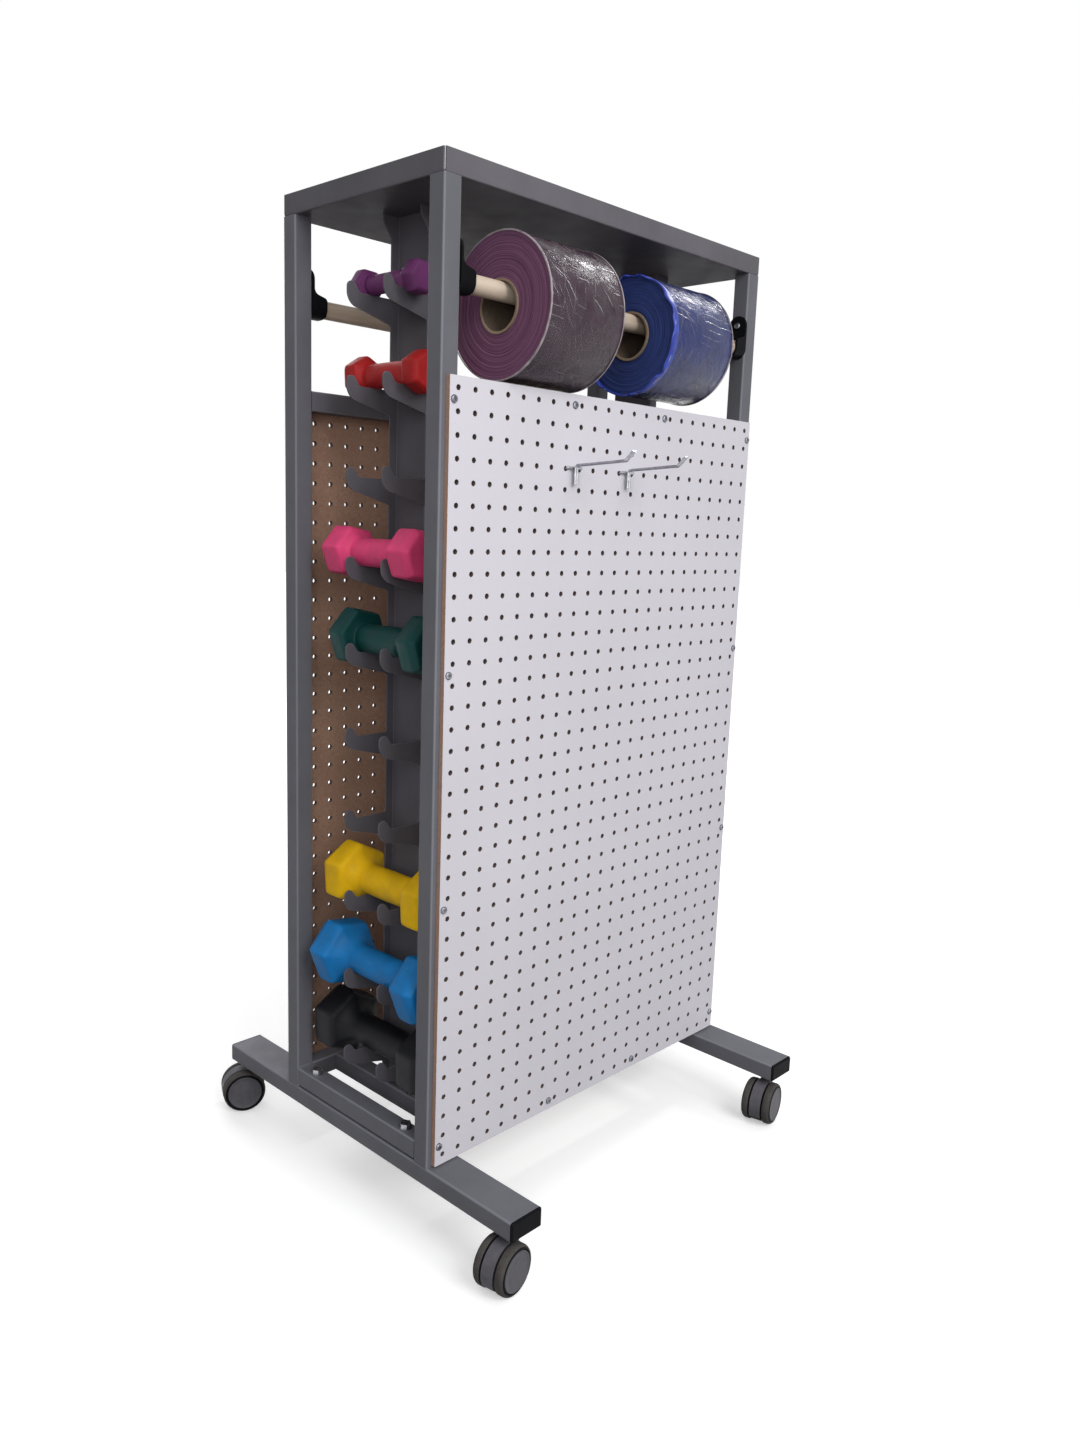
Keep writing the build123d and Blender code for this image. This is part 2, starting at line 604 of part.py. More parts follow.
def handle(half, radius):
    """A slightly barrelled grip."""
    end = HANDLE_END_SCALE * radius
    crown = Edge.make_three_point_arc((end, -half, 0), (radius, 0, 0), (end, half, 0))
    outline = Wire([crown, Edge.make_line((end, half, 0), (0, half, 0)),
                    Edge.make_line((0, half, 0), (0, -half, 0)),
                    Edge.make_line((0, -half, 0), (end, -half, 0))])
    return revolve(Face(outline), Axis.Y)


def handle_seat_radius(inner, offset, radius):
    """The larger of the handle's radii where the two flanges carry it."""
    reach = COLUMN_WIDTH / 2 - SHEET - abs(offset)
    share = max(reach, 0) / inner
    return radius * (1 - (1 - HANDLE_END_SCALE) * share * share)


def dumbbell(level, x, y, half, head_length, head_radius, turn, grip):
    """A hex dumbbell that lies across the two flanges of the left column."""
    inner = half - head_length
    head = dumbbell_head(inner, head_length, head_radius, turn)
    body = handle(inner + 1.0, grip) + head + mirror(head, about=Plane.XZ)
    floor = HOOK_TOP - level * HOOK_PITCH - HOOK_FLOOR_DROP
    return Pos(x, y, floor + handle_seat_radius(inner, y, grip) + CLEARANCE) * body


# --- Peg hooks -------------------------------------------------------------
def bent_wire(path, radius):
    """A round wire along a path, started square to it."""
    start = Plane(origin=path @ 0, z_dir=path % 0)
    return sweep(start * Circle(radius), path)


def peg_hook(centre_x):
    """A welded hook: a crossbar with two tails through the board, and a twin-wire arm with a foot."""
    row = peg_z(HOOK_ROW)
    board_middle = -(FRAME_DEPTH + BOARD) / 2
    board_face = board_middle - BOARD / 2
    hinge_z = row + HOOK_TAIL_RADIUS
    front = radians(HOOK_FRONT_ANGLE)
    bar_y = board_middle - HOOK_TAIL_RADIUS * sin(front)
    bar_z = hinge_z - HOOK_TAIL_RADIUS * cos(front)
    half = PEG_PITCH / 2
    hook = pin("x", (bar_y, bar_z), HOOK_WIRE, centre_x - half, centre_x + half)
    for end in (centre_x - half, centre_x + half):
        ring_plane = Plane(origin=(end, board_middle, hinge_z), x_dir=(0, 1, 0), z_dir=(1, 0, 0))
        tail = Edge.make_circle(HOOK_TAIL_RADIUS, ring_plane, 270 - HOOK_FRONT_ANGLE,
                                270 + HOOK_TAIL_ANGLE)
        hook += bent_wire(tail, HOOK_WIRE)
        hook += Pos(end, bar_y, bar_z) * Sphere(HOOK_WIRE)
    wire_y = bar_y - HOOK_WIRE - TWIN_WIRE + WELD_SINK
    places = (
        (wire_y, row - HOOK_FOOT_DROP),
        (wire_y, row + HOOK_NECK_RISE),
        (board_face - HOOK_ARM, row + HOOK_ARM_RISE),
        (board_face - HOOK_TIP, row + HOOK_TIP_RISE),
    )
    for way in (-1, 1):
        points = [(centre_x + way * WIRE_SPREAD, *place) for place in places]
        hook += bent_wire(FilletPolyline(*points, radius=WIRE_BEND), TWIN_WIRE)
    return hook


# --- Casters, modelled with the stem on the origin and the wheels trailing to -X ------------------
def caster_housing():
    """The hood between the wheels: a rim and a web from the leading top round to the trailing side."""
    centre = (-CASTER_TRAIL, WHEEL_RADIUS)
    rim = ring("y", centre, HOOD_RADIUS, HOOD_RADIUS - HOOD_RIM, -HOOD_HALF, HOOD_HALF)
    web = pin("y", centre, HOOD_RADIUS - 1, -HOOD_WEB_HALF, HOOD_WEB_HALF)
    below = Polygon((centre, *HOOD_CUT), align=None)
    body = rim + web - prism("y", below, -AXLE_HALF, AXLE_HALF)
    body += pin("y", centre, AXLE_BOSS_RADIUS, -AXLE_BOSS_HALF, AXLE_BOSS_HALF)
    body += pin("z", (0, 0), BARREL_RADIUS, BARREL_BOTTOM, HOUSING_TOP)
    body -= pin("y", centre, AXLE_RADIUS, -AXLE_HALF, AXLE_HALF)
    return body - pin("z", (0, 0), STEM_RADIUS + RUNNING_FIT, STEM_BOTTOM - 0.5, HOUSING_TOP + 1)


def caster_stem():
    """The fixed stem, with the collar that bears on the leg."""
    stem = pin("z", (0, 0), STEM_RADIUS, STEM_BOTTOM, STEM_TOP)
    return stem + pin("z", (0, 0), BARREL_RADIUS, HOUSING_TOP + CLEARANCE, LEG_BOTTOM)


def caster_axle():
    axle = pin("y", (-CASTER_TRAIL, WHEEL_RADIUS), AXLE_RADIUS, -AXLE_HALF, AXLE_HALF)
    return chamfer(axle.edges().filter_by(GeomType.CIRCLE), 0.5)


def caster_wheel(way):
    """A wheel with a soft tread and a shallow hub cap; way is the side of the hood that it runs on."""
    bore = AXLE_RADIUS + RUNNING_FIT
    inner = WHEEL_INNER
    outer = WHEEL_INNER + WHEEL_WIDTH
    profile = rounded_face([
        (bore, inner, 0),
        (WHEEL_RADIUS, inner, TREAD_INNER_EDGE),
        (WHEEL_RADIUS, outer, TREAD_OUTER_EDGE),
        (HUB_RADIUS + 2 * HUB_GROOVE, outer, 0),
        (HUB_RADIUS + HUB_GROOVE, outer - HUB_GROOVE_DEPTH, 0),
        (HUB_RADIUS, outer - HUB_GROOVE_DEPTH, 0),
        (HUB_RADIUS - 2 * HUB_GROOVE, outer - HUB_SLOPE, 0),
        (0, outer, 0),
        (0, outer - HUB_PLATE, 0),
        (bore, outer - HUB_PLATE, 0),
    ])
    wheel = Pos(-CASTER_TRAIL, 0, WHEEL_RADIUS) * revolve(profile, Axis.Y)
    return wheel if way > 0 else mirror(wheel, about=Plane.XZ)


def caster_place(name):
    side = -1 if name.endswith("left") else 1
    face = -1 if name.startswith("front") else 1
    return Pos(side * CASTER_X, face * CASTER_Y) * Rot(0, 0, CASTER_TURNS[name])


# --- All nodes -------------------------------------------------------------
def all_nodes():
    nodes = {}
    for face_name, face in FACES.items():
        for side_name, side in SIDES.items():
            nodes[f"post_{face_name}_{side_name}"] = post(side, face)
        nodes[f"rail_top_{face_name}"] = long_rail(face, TOP_RAIL, SCREW_MIDDLE_ROWS[0])
        nodes[f"rail_bottom_{face_name}"] = long_rail(face, BOTTOM_RAIL, SCREW_MIDDLE_ROWS[1])
        nodes[f"pegboard_{face_name}"] = pegboard(face)
        nodes[f"rod_{face_name}"] = rod(face)
    column = right_column()
    bracket = right_bracket()
    for side_name, side in SIDES.items():
        nodes[f"end_rail_{side_name}"] = end_rail(side)
        nodes[f"cross_beam_{side_name}"] = cross_beam(side)
        nodes[f"leg_{side_name}"] = leg(side)
        nodes[f"dumbbell_column_{side_name}"] = column if side > 0 else mirror(column, about=Plane.YZ)
        front = bracket if side > 0 else mirror(bracket, about=Plane.YZ)
        nodes[f"rod_bracket_front_{side_name}"] = front
        nodes[f"rod_bracket_back_{side_name}"] = mirror(front, about=Plane.XZ)
        nodes[f"peg_hook_{side_name}"] = peg_hook(HOOK_CENTRES[side_name])
    caps = [leg_end_cap(side, face) for side in SIDES.values() for face in FACES.values()]
    nodes["leg_end_caps"] = together(caps)
    nodes["tray_top"] = tray_top()
    nodes["pan_head_screws"] = screws()
    nodes["hex_bolts"] = hex_bolts()
    for colour, sizes in ROLLS.items():
        for kind, piece in roll_pieces(*sizes).items():
            nodes[f"roll_{colour}_{kind}"] = piece
    for colour, sizes in DUMBBELLS.items():
        nodes[f"dumbbell_{colour}"] = dumbbell(*sizes)
    stems = []
    for name in CASTER_TURNS:
        place = caster_place(name)
        stems.append(place * caster_stem())
        nodes[f"caster_{name}_housing"] = place * caster_housing()
        nodes[f"caster_{name}_axle"] = place * caster_axle()
        nodes[f"caster_{name}_wheel_right"] = place * caster_wheel(1)
        nodes[f"caster_{name}_wheel_left"] = place * caster_wheel(-1)
    nodes["caster_stems"] = together(stems)
    return nodes


os.makedirs("parts", exist_ok=True)
for node_name, node_shape in all_nodes().items():
    export_step(node_shape, f"parts/{node_name}.step")
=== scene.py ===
import json
import math
import random

import bpy
from mathutils import Matrix, Vector, noise

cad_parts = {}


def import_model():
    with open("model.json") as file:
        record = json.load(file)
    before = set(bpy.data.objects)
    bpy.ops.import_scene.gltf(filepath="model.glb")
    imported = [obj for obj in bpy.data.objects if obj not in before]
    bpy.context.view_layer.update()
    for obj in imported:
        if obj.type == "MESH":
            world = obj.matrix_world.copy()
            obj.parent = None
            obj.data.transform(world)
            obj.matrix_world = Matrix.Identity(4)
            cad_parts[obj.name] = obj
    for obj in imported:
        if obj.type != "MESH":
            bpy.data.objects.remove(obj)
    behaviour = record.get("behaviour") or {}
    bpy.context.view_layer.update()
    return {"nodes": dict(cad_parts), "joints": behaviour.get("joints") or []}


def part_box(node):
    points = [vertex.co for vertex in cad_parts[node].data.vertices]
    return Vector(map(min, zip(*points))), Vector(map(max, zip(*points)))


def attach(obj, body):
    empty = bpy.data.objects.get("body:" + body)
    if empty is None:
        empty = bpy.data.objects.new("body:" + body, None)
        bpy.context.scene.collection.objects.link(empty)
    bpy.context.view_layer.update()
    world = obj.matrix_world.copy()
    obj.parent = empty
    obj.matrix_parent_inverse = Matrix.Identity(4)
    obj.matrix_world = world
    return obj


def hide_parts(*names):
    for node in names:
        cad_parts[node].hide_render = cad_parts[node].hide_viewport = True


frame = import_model()
NODES = frame["nodes"]
JOINTS = {joint["name"]: joint for joint in frame["joints"]}

# --- Camera: where the photograph was taken from, and how it was held -------------------------
CAMERA_PLACE = Vector((-1.1170, -1.0881, 0.8800))
CAMERA_RIGHT = Vector((0.6912, -0.7218, 0.0348))
CAMERA_UP = Vector((0.102, 0.1451, 0.9841))
CAMERA_LENS = 27.58

# --- Sizes that the looks share with the construction, in metres ------------------------------
PEG_PITCH = 0.0254
PEG_RADIUS = 0.003175
PEG_COLUMNS = 23
PEG_ROWS = 37
ROD_Y = 0.1375
DUMBBELLS = {
    # head length, head radius, turn in degrees, grip radius, corner sharpness, rubber colour
    "purple": (0.0210, 0.0210, 57.0, 0.0111, 20, (0.132, 0.030, 0.122)),
    "red": (0.0260, 0.0260, 33.0, 0.0144, 22, (0.40, 0.016, 0.017)),
    "pink": (0.0400, 0.0343, 50.0, 0.0171, 28, (0.80, 0.070, 0.215)),
    "green": (0.0335, 0.0395, 48.0, 0.0178, 32, (0.0012, 0.037, 0.036)),
    "yellow": (0.0426, 0.0448, 33.0, 0.0195, 50, (0.84, 0.50, 0.006)),
    "blue": (0.0410, 0.0472, 51.0, 0.0192, 50, (0.010, 0.180, 0.48)),
    "black": (0.0460, 0.0470, 31.0, 0.0200, 46, (0.0032, 0.0034, 0.0058)),
}
COLUMN_HALF = 0.0355
CORE_INSIDE = 0.0275
CORE_OUTSIDE = 0.0305
AXLE_RADIUS = 0.0032
WHEEL_RADIUS = 0.0305
WHEEL_INNER = 0.0094
WHEEL_WIDTH = 0.0130

# --- Sizes of soft forms and small trim that only the looks have, in metres or as shares -------
RIM_SPREAD = 0.00030
RIM_DIP = 0.00035
SHORTEST_NECK = 0.05
LONGEST_NECK = 0.45
NECK_ROUNDING = 0.97
GRIP_BULGE = 0.03
GRIP_RINGS = 8
MERGE_GAP = 0.00001
ROD_BEVEL = 0.0010
BAND_TURNS = 44
BAND_MARGIN = 0.0006
BAND_INSET = 0.0008
BAND_SHOULDER = 0.0030
CARD_RIM = 0.0003
FILM_LIFT = 0.00035
FILM_STATIONS = 40
BEAD_RADIUS = 0.0022
POST_BEAD_RADIUS = 0.0018
BEAD_STEP = 0.0004
BEAD_RIPPLE = 0.0017
HUB_RADIUS = 0.0247
CAP_SINK = 0.0020
# the black drum between each caster's wheels paints the shade in the gap between them
DRUM_RADIUS = 0.0262
DRUM_HALF = 0.0078
DRUM_BEVEL = 0.0008
# below the edge of the hood the drum is wider; the edge is given as the sine of its angle below level
KEEL_RADIUS = 0.0292
HOOD_END = 0.52

# --- Steps round each kind of round piece -------------------------------------------------------
HOLE_STEPS = 16
DUMBBELL_STEPS = 120
ROD_STEPS = 64
BAND_STEPS = 144
CORE_STEPS = 96
FILM_STEPS = 220
FILM_RIM_STEPS = 180
RUFFLE_STEPS = 260
BEAD_STEPS = 10
WHEEL_STEPS = 96
DRUM_STEPS = 72

rng = random.Random(7)


# ============================== materials ======================================================
class Paint:
    """A node material under construction: a Principled shader and short helpers to feed it."""

    def __init__(self, name, **constants):
        self.material = bpy.data.materials.new(name)
        self.material.use_nodes = True
        self.tree = self.material.node_tree
        self.shader = self.tree.nodes["Principled BSDF"]
        for socket, value in constants.items():
            self.shader.inputs[socket.replace("_", " ")].default_value = value
        self.place = self.add("ShaderNodeTexCoord").outputs["Object"]

    def add(self, kind, **settings):
        node = self.tree.nodes.new(kind)
        for key, value in settings.items():
            setattr(node, key, value)
        return node

    def join(self, source, target):
        self.tree.links.new(source, target)

    def split(self, vector):
        node = self.add("ShaderNodeSeparateXYZ")
        self.join(vector, node.inputs["Vector"])
        return node.outputs

    def facing(self):
        """Which way the surface looks, as X, Y and Z."""
        return self.split(self.add("ShaderNodeTexCoord").outputs["Normal"])

    def shifted(self, offset):
        mapping = self.add("ShaderNodeMapping")
        mapping.inputs["Location"].default_value = (offset, offset, offset)
        self.join(self.place, mapping.inputs["Vector"])
        return mapping.outputs["Vector"]

    def stretched(self, scale):
        mapping = self.add("ShaderNodeMapping")
        mapping.inputs["Scale"].default_value = scale
        self.join(self.place, mapping.inputs["Vector"])
        return mapping.outputs["Vector"]

    def noise(self, scale, detail=2.0, roughness=0.5, place=None, distortion=0.0):
        node = self.add("ShaderNodeTexNoise")
        node.inputs["Scale"].default_value = scale
        node.inputs["Detail"].default_value = detail
        node.inputs["Roughness"].default_value = roughness
        node.inputs["Distortion"].default_value = distortion
        self.join(place or self.place, node.inputs["Vector"])
        return node.outputs["Fac"]

    def between(self, value, low, high, out_low=0.0, out_high=1.0):
        node = self.add("ShaderNodeMapRange")
        node.inputs["From Min"].default_value = low
        node.inputs["From Max"].default_value = high
        node.inputs["To Min"].default_value = out_low
        node.inputs["To Max"].default_value = out_high
        self.join(value, node.inputs["Value"])
        return node.outputs["Result"]

    def ramp(self, value, stops):
        node = self.add("ShaderNodeValToRGB")
        bar = node.color_ramp
        while len(bar.elements) < len(stops):
            bar.elements.new(0.5)
        for element, (position, colour) in zip(bar.elements, stops):
            element.position = position
            element.color = (*colour, 1.0)
        self.join(value, node.inputs["Fac"])
        return node.outputs["Color"]

    def mix(self, factor, first, second):
        node = self.add("ShaderNodeMix", data_type="RGBA")
        for socket, value in ((node.inputs["Factor"], factor), (node.inputs["A"], first),
                              (node.inputs["B"], second)):
            if isinstance(value, (tuple, float, int)):
                socket.default_value = (*value, 1.0) if isinstance(value, tuple) else value
            else:
                self.join(value, socket)
        return node.outputs["Result"]

    def math(self, operation, first, second=0.0):
        node = self.add("ShaderNodeMath", operation=operation)
        for socket, value in zip(node.inputs, (first, second)):
            if isinstance(value, (float, int)):
                socket.default_value = value
            else:
                self.join(value, socket)
        return node.outputs[0]

    def colour(self, value):
        self.join(value, self.shader.inputs["Base Color"])

    def rough(self, value):
        self.join(value, self.shader.inputs["Roughness"])

    def bump(self, height, distance, strength=1.0):
        node = self.add("ShaderNodeBump")
        node.inputs["Distance"].default_value = distance
        node.inputs["Strength"].default_value = strength
        self.join(height, node.inputs["Height"])
        if self.shader.inputs["Normal"].is_linked:
            earlier = self.shader.inputs["Normal"].links[0].from_socket
            self.join(earlier, node.inputs["Normal"])
        self.join(node.outputs["Normal"], self.shader.inputs["Normal"])

    def edges(self, colour, lighter, radius=0.0010, share=0.75):
        """A lighter tone within the radius of an edge: a painted highlight."""
        rounded = self.add("ShaderNodeBevel", samples=4)
        rounded.inputs["Radius"].default_value = radius
        flat = self.add("ShaderNodeNewGeometry").outputs["Normal"]
        lean = self.add("ShaderNodeVectorMath", operation="DOT_PRODUCT")
        self.join(rounded.outputs["Normal"], lean.inputs[0])
        self.join(flat, lean.inputs[1])
        return self.mix(self.between(lean.outputs["Value"], 0.99, 0.86, 0.0, share), colour, lighter)

    def bend_highlight(self, colour, lighter, share):
        """A lighter tone on the rounded corners and profiled rims of a piece built square: a painted
        highlight, set by which way the surface faces.
        """
        facing = self.facing()
        widest = self.math("ABSOLUTE", facing["X"])
        for axis in "YZ":
            widest = self.math("MAXIMUM", widest, self.math("ABSOLUTE", facing[axis]))
        return self.mix(self.between(widest, 0.995, 0.93, 0.0, share), colour, lighter)

    def underside_shade(self, colour, darker, share):
        """A darker tone on the faces that look down: painted shade."""
        return self.mix(self.between(self.facing()["Z"], -0.15, -0.80, 0.0, share), colour, darker)

    def crevice_shade(self, colour, darker, reach=0.0035, share=0.9):
        """A darker tone where two surfaces meet or nearly meet: painted shade from how closely they
        shelter each other.
        """
        shelter = self.add("ShaderNodeAmbientOcclusion", samples=4)
        shelter.inputs["Distance"].default_value = reach
        return self.mix(self.between(shelter.outputs["AO"], 0.50, 0.05, 0.0, share), colour, darker)


def scaled(colour, share):
    return tuple(channel * share for channel in colour)


def powder_coat(name="powder_coat", base=(0.141, 0.142, 0.161), edge=1.7, gloss=0.08, bend=0.6):
    """Baked grey powder: faintly mottled, with painted highlights along bends and cut edges and painted
    shade in the seams.
    """
    paint = Paint(name, Specular_IOR_Level=gloss)
    cloud = paint.noise(9.0, 4.0, 0.6)
    grain = paint.noise(2600.0, 2.0, 0.6)
    tone = paint.mix(paint.between(cloud, 0.35, 0.65), scaled(base, 0.92), scaled(base, 1.07))
    tone = paint.mix(paint.between(grain, 0.62, 0.75, 0.0, 0.25), tone, scaled(base, 1.6))
    # painted highlights along cut edges and bends, and painted shade in the seams
    tone = paint.edges(tone, scaled(base, edge))
    tone = paint.bend_highlight(tone, scaled(base, edge), bend)
    paint.colour(paint.crevice_shade(tone, scaled(base, 0.10)))
    paint.rough(paint.between(paint.noise(40.0, 3.0), 0.3, 0.7, 0.40, 0.52))
    paint.bump(paint.noise(1500.0, 2.0, 0.5), 0.00012, 0.35)
    return paint.material


def melamine():
    paint = Paint("white_melamine", Specular_IOR_Level=0.20)
    cloud = paint.noise(4.0, 3.0, 0.5)
    paint.colour(paint.mix(paint.between(cloud, 0.3, 0.7), (0.615, 0.594, 0.648), (0.65, 0.630, 0.685)))
    paint.rough(paint.between(paint.noise(90.0, 3.0), 0.3, 0.7, 0.42, 0.55))
    paint.bump(paint.noise(700.0, 3.0, 0.6), 0.0001, 0.25)
    return paint.material


def hardboard():
    paint = Paint("brown_hardboard", Specular_IOR_Level=0.20)
    fibre = paint.noise(260.0, 6.0, 0.7, distortion=1.4)
    cloud = paint.noise(11.0, 4.0, 0.6)
    tone = paint.ramp(fibre, [(0.25, (0.27, 0.155, 0.105)), (0.5, (0.40, 0.245, 0.175)),
                              (0.8, (0.54, 0.36, 0.27))])
    paint.colour(paint.mix(paint.between(cloud, 0.35, 0.65, 0.0, 0.5), tone, (0.34, 0.21, 0.15)))
    paint.rough(paint.between(fibre, 0.2, 0.8, 0.62, 0.85))
    paint.bump(fibre, 0.0002, 0.5)
    return paint.material


def shaded_hole_wall():
    """Fibre inside a drilled hole, toned dark as painted shade."""
    paint = Paint("drilled_hole_shaded", Roughness=0.9, Specular_IOR_Level=0.05)
    fibre = paint.noise(700.0, 4.0, 0.7)
    paint.colour(paint.ramp(fibre, [(0.3, (0.070, 0.052, 0.050)), (0.7, (0.19, 0.145, 0.13))]))
    paint.bump(fibre, 0.0003, 0.5)
    return paint.material


def drilled_edge():
    """The torn rim of a drilled hole, paler than the board's core."""
    paint = Paint("drilled_rim")
    fibre = paint.noise(900.0, 4.0, 0.6)
    paint.colour(paint.ramp(fibre, [(0.3, (0.42, 0.39, 0.40)), (0.7, (0.72, 0.70, 0.74))]))
    paint.rough(paint.between(fibre, 0.2, 0.8, 0.5, 0.7))
    paint.bump(fibre, 0.0002, 0.4)
    return paint.material


def zinc(name, dark, light):
    paint = Paint(name, Metallic=1.0)
    cloud = paint.noise(220.0, 3.0, 0.6)
    tone = paint.mix(paint.between(cloud, 0.3, 0.7), dark, light)
    # painted highlight on the edges, painted shade on the faces that look down and in the crevices
    tone = paint.edges(tone, (0.62, 0.63, 0.67), 0.0003, 0.5)
    tone = paint.underside_shade(tone, (0.045, 0.048, 0.058), 0.50)
    paint.colour(paint.crevice_shade(tone, (0.010, 0.010, 0.012), 0.0025, 1.0))
    paint.rough(paint.between(paint.noise(600.0, 2.0), 0.3, 0.7, 0.30, 0.42))
    paint.bump(paint.noise(1800.0, 2.0), 0.00005, 0.3)
    return paint.material


def black_plastic():
    paint = Paint("black_plastic", Specular_IOR_Level=0.03)
    grain = paint.noise(2200.0, 2.0, 0.5)
    paint.colour(paint.mix(paint.between(grain, 0.4, 0.6), (0.004, 0.004, 0.005), (0.010, 0.010, 0.012)))
    paint.rough(paint.between(paint.noise(60.0, 2.0), 0.3, 0.7, 0.36, 0.46))
    paint.bump(grain, 0.0001, 0.3)
    return paint.material


def rod_wood():
    paint = Paint("pale_dowel", Specular_IOR_Level=0.25)
    long_grain = paint.stretched((6.0, 130.0, 130.0))
    band = paint.noise(1.0, 5.0, 0.6, place=long_grain, distortion=0.5)
    pore = paint.noise(1.0, 3.0, 0.7, place=paint.stretched((55.0, 900.0, 900.0)))
    tone = paint.ramp(band, [(0.25, (0.42, 0.325, 0.23)), (0.5, (0.55, 0.45, 0.355)),
                             (0.75, (0.63, 0.535, 0.435))])
    paint.colour(paint.mix(paint.between(pore, 0.60, 0.72, 0.0, 0.55), tone, (0.33, 0.22, 0.13)))
    paint.rough(paint.between(band, 0.2, 0.8, 0.50, 0.66))
    paint.bump(pore, 0.00012, 0.4)
    return paint.material


def cardboard(name, dark, light):
    paint = Paint(name, Specular_IOR_Level=0.10)
    fibre = paint.noise(420.0, 5.0, 0.7)
    paint.colour(paint.ramp(fibre, [(0.3, dark), (0.7, light)]))
    paint.rough(paint.between(fibre, 0.2, 0.8, 0.7, 0.85))
    paint.bump(fibre, 0.0002, 0.5)
    return paint.material


def latex(name, dark, light, height):
    """Wound latex band: thin turns show as rings on the ends of the roll."""
    paint = Paint(name, Specular_IOR_Level=0.20)
    place = paint.split(paint.place)
    across = paint.math("SUBTRACT", place["Y"], -ROD_Y)
    up = paint.math("SUBTRACT", place["Z"], height)
    radius = paint.math("SQRT", paint.math("ADD", paint.math("MULTIPLY", across, across),
                                           paint.math("MULTIPLY", up, up)))
    rings = paint.add("ShaderNodeTexNoise", noise_dimensions="1D")
    rings.inputs["Scale"].default_value = 620.0
    rings.inputs["Detail"].default_value = 4.0
    rings.inputs["Roughness"].default_value = 0.7
    drift = paint.math("MULTIPLY", paint.noise(22.0, 2.0), 0.0045)
    paint.join(paint.math("ADD", radius, drift), rings.inputs["W"])
    turn = rings.outputs["Fac"]
    paint.colour(paint.mix(paint.between(turn, 0.35, 0.68), dark, light))
    paint.rough(paint.between(turn, 0.2, 0.8, 0.48, 0.68))
    paint.bump(turn, 0.0006, 0.55)
    return paint.material


def roll_place(paint, height):
    """How far round a roll a point lies, in turns, how far along the rod, and how far above it."""
    place = paint.split(paint.place)
    across = paint.math("SUBTRACT", -ROD_Y, place["Y"])
    up = paint.math("SUBTRACT", place["Z"], height)
    turn = paint.math("DIVIDE", paint.math("ARCTAN2", up, across), 2 * math.pi)
    return turn, place["X"], up


# slant per metre, folds to a turn, half width as a share of their spacing, and seed
CREASES = ((34.0, 15.0, 0.034, 0.3), (-58.0, 9.0, 0.024, 1.9), (14.0, 46.0, 0.075, 4.1),
           (95.0, 22.0, 0.040, 6.6))


def crease_family(paint, turn, along, slant, per_turn, width, seed):
    """Long thin folds, slanted across the roll and broken off where the film lies flat."""
    bend = paint.noise(9.0, 4.0, 0.62, place=paint.shifted(seed))
    sweep = paint.math("ADD", paint.math("MULTIPLY", turn, per_turn), paint.math("MULTIPLY", along, slant))
    sweep = paint.math("ADD", sweep, paint.math("MULTIPLY", bend, 1.6))
    off = paint.math("ABSOLUTE", paint.math("SUBTRACT", paint.math("FRACT", sweep), 0.5))
    line = paint.between(off, 0.0, width, 1.0, 0.0)
    kept = paint.between(paint.noise(19.0, 2.0, 0.5, place=paint.shifted(seed + 3.7)), 0.52, 0.60)
    return paint.math("MULTIPLY", line, kept)


def wrap_creases(paint, height):
    """Four families of folds, faded low on the roll, where less light falls; where the film paints them
    pale they are painted highlight.
    """
    turn, along, up = roll_place(paint, height)
    families = [crease_family(paint, turn, along, *shape) for shape in CREASES]
    creases_and_glints = families[0]
    for family in families[1:]:
        creases_and_glints = paint.math("MAXIMUM", creases_and_glints, family)
    return paint.math("MULTIPLY", creases_and_glints, paint.between(up, -0.010, 0.040, 0.45, 1.0))


def wrap_film(name, tint, height):
    """Clear stretch film: a faint haze, and fine creases where it has folded, painted pale as highlight.
    """
    paint = Paint(name, Specular_IOR_Level=0.12)
    creases_and_glints = wrap_creases(paint, height)
    haze = paint.between(paint.noise(8.0, 3.0, 0.5), 0.42, 0.62, 0.03, 0.16)
    # painted highlight: the creases are near-white, and more opaque than the haze
    paint.colour(paint.mix(creases_and_glints, tint, (0.86, 0.85, 0.88)))
    cover = paint.math("MAXIMUM", haze, paint.math("MULTIPLY", creases_and_glints, 0.85))
    paint.join(cover, paint.shader.inputs["Alpha"])
    paint.rough(paint.between(creases_and_glints, 0.0, 1.0, 0.10, 0.30))
    paint.bump(creases_and_glints, 0.0008, 0.6)
    return paint.material


def wrapped_latex(name, dark, light, height, gloss):
    """The outside of the roll, under film drawn tight: glossy and finely wrinkled."""
    paint = Paint(name, Specular_IOR_Level=gloss)
    cloud = paint.noise(24.0, 4.0, 0.6)
    streak = paint.noise(1.0, 3.0, 0.6, place=paint.stretched((9.0, 160.0, 160.0)))
    tone = paint.mix(paint.between(cloud, 0.3, 0.7), dark, light)
    paint.colour(paint.mix(paint.between(streak, 0.5, 0.8, 0.0, 0.3), tone, dark))
    paint.rough(paint.between(cloud, 0.3, 0.7, 0.07, 0.17))
    paint.bump(wrap_creases(paint, height), 0.0010, 0.7)
    paint.bump(paint.noise(55.0, 5.0, 0.68, distortion=1.2), 0.0026, 0.6)
    return paint.material


def plain_gloss(name, dark, light):
    """A thin edge of film or latex that shines a little."""
    paint = Paint(name, Specular_IOR_Level=0.30)
    cloud = paint.noise(90.0, 3.0, 0.6)
    paint.colour(paint.mix(paint.between(cloud, 0.35, 0.65), dark, light))
    paint.rough(paint.between(cloud, 0.3, 0.7, 0.25, 0.45))
    paint.bump(paint.noise(300.0, 3.0), 0.0003, 0.4)
    return paint.material


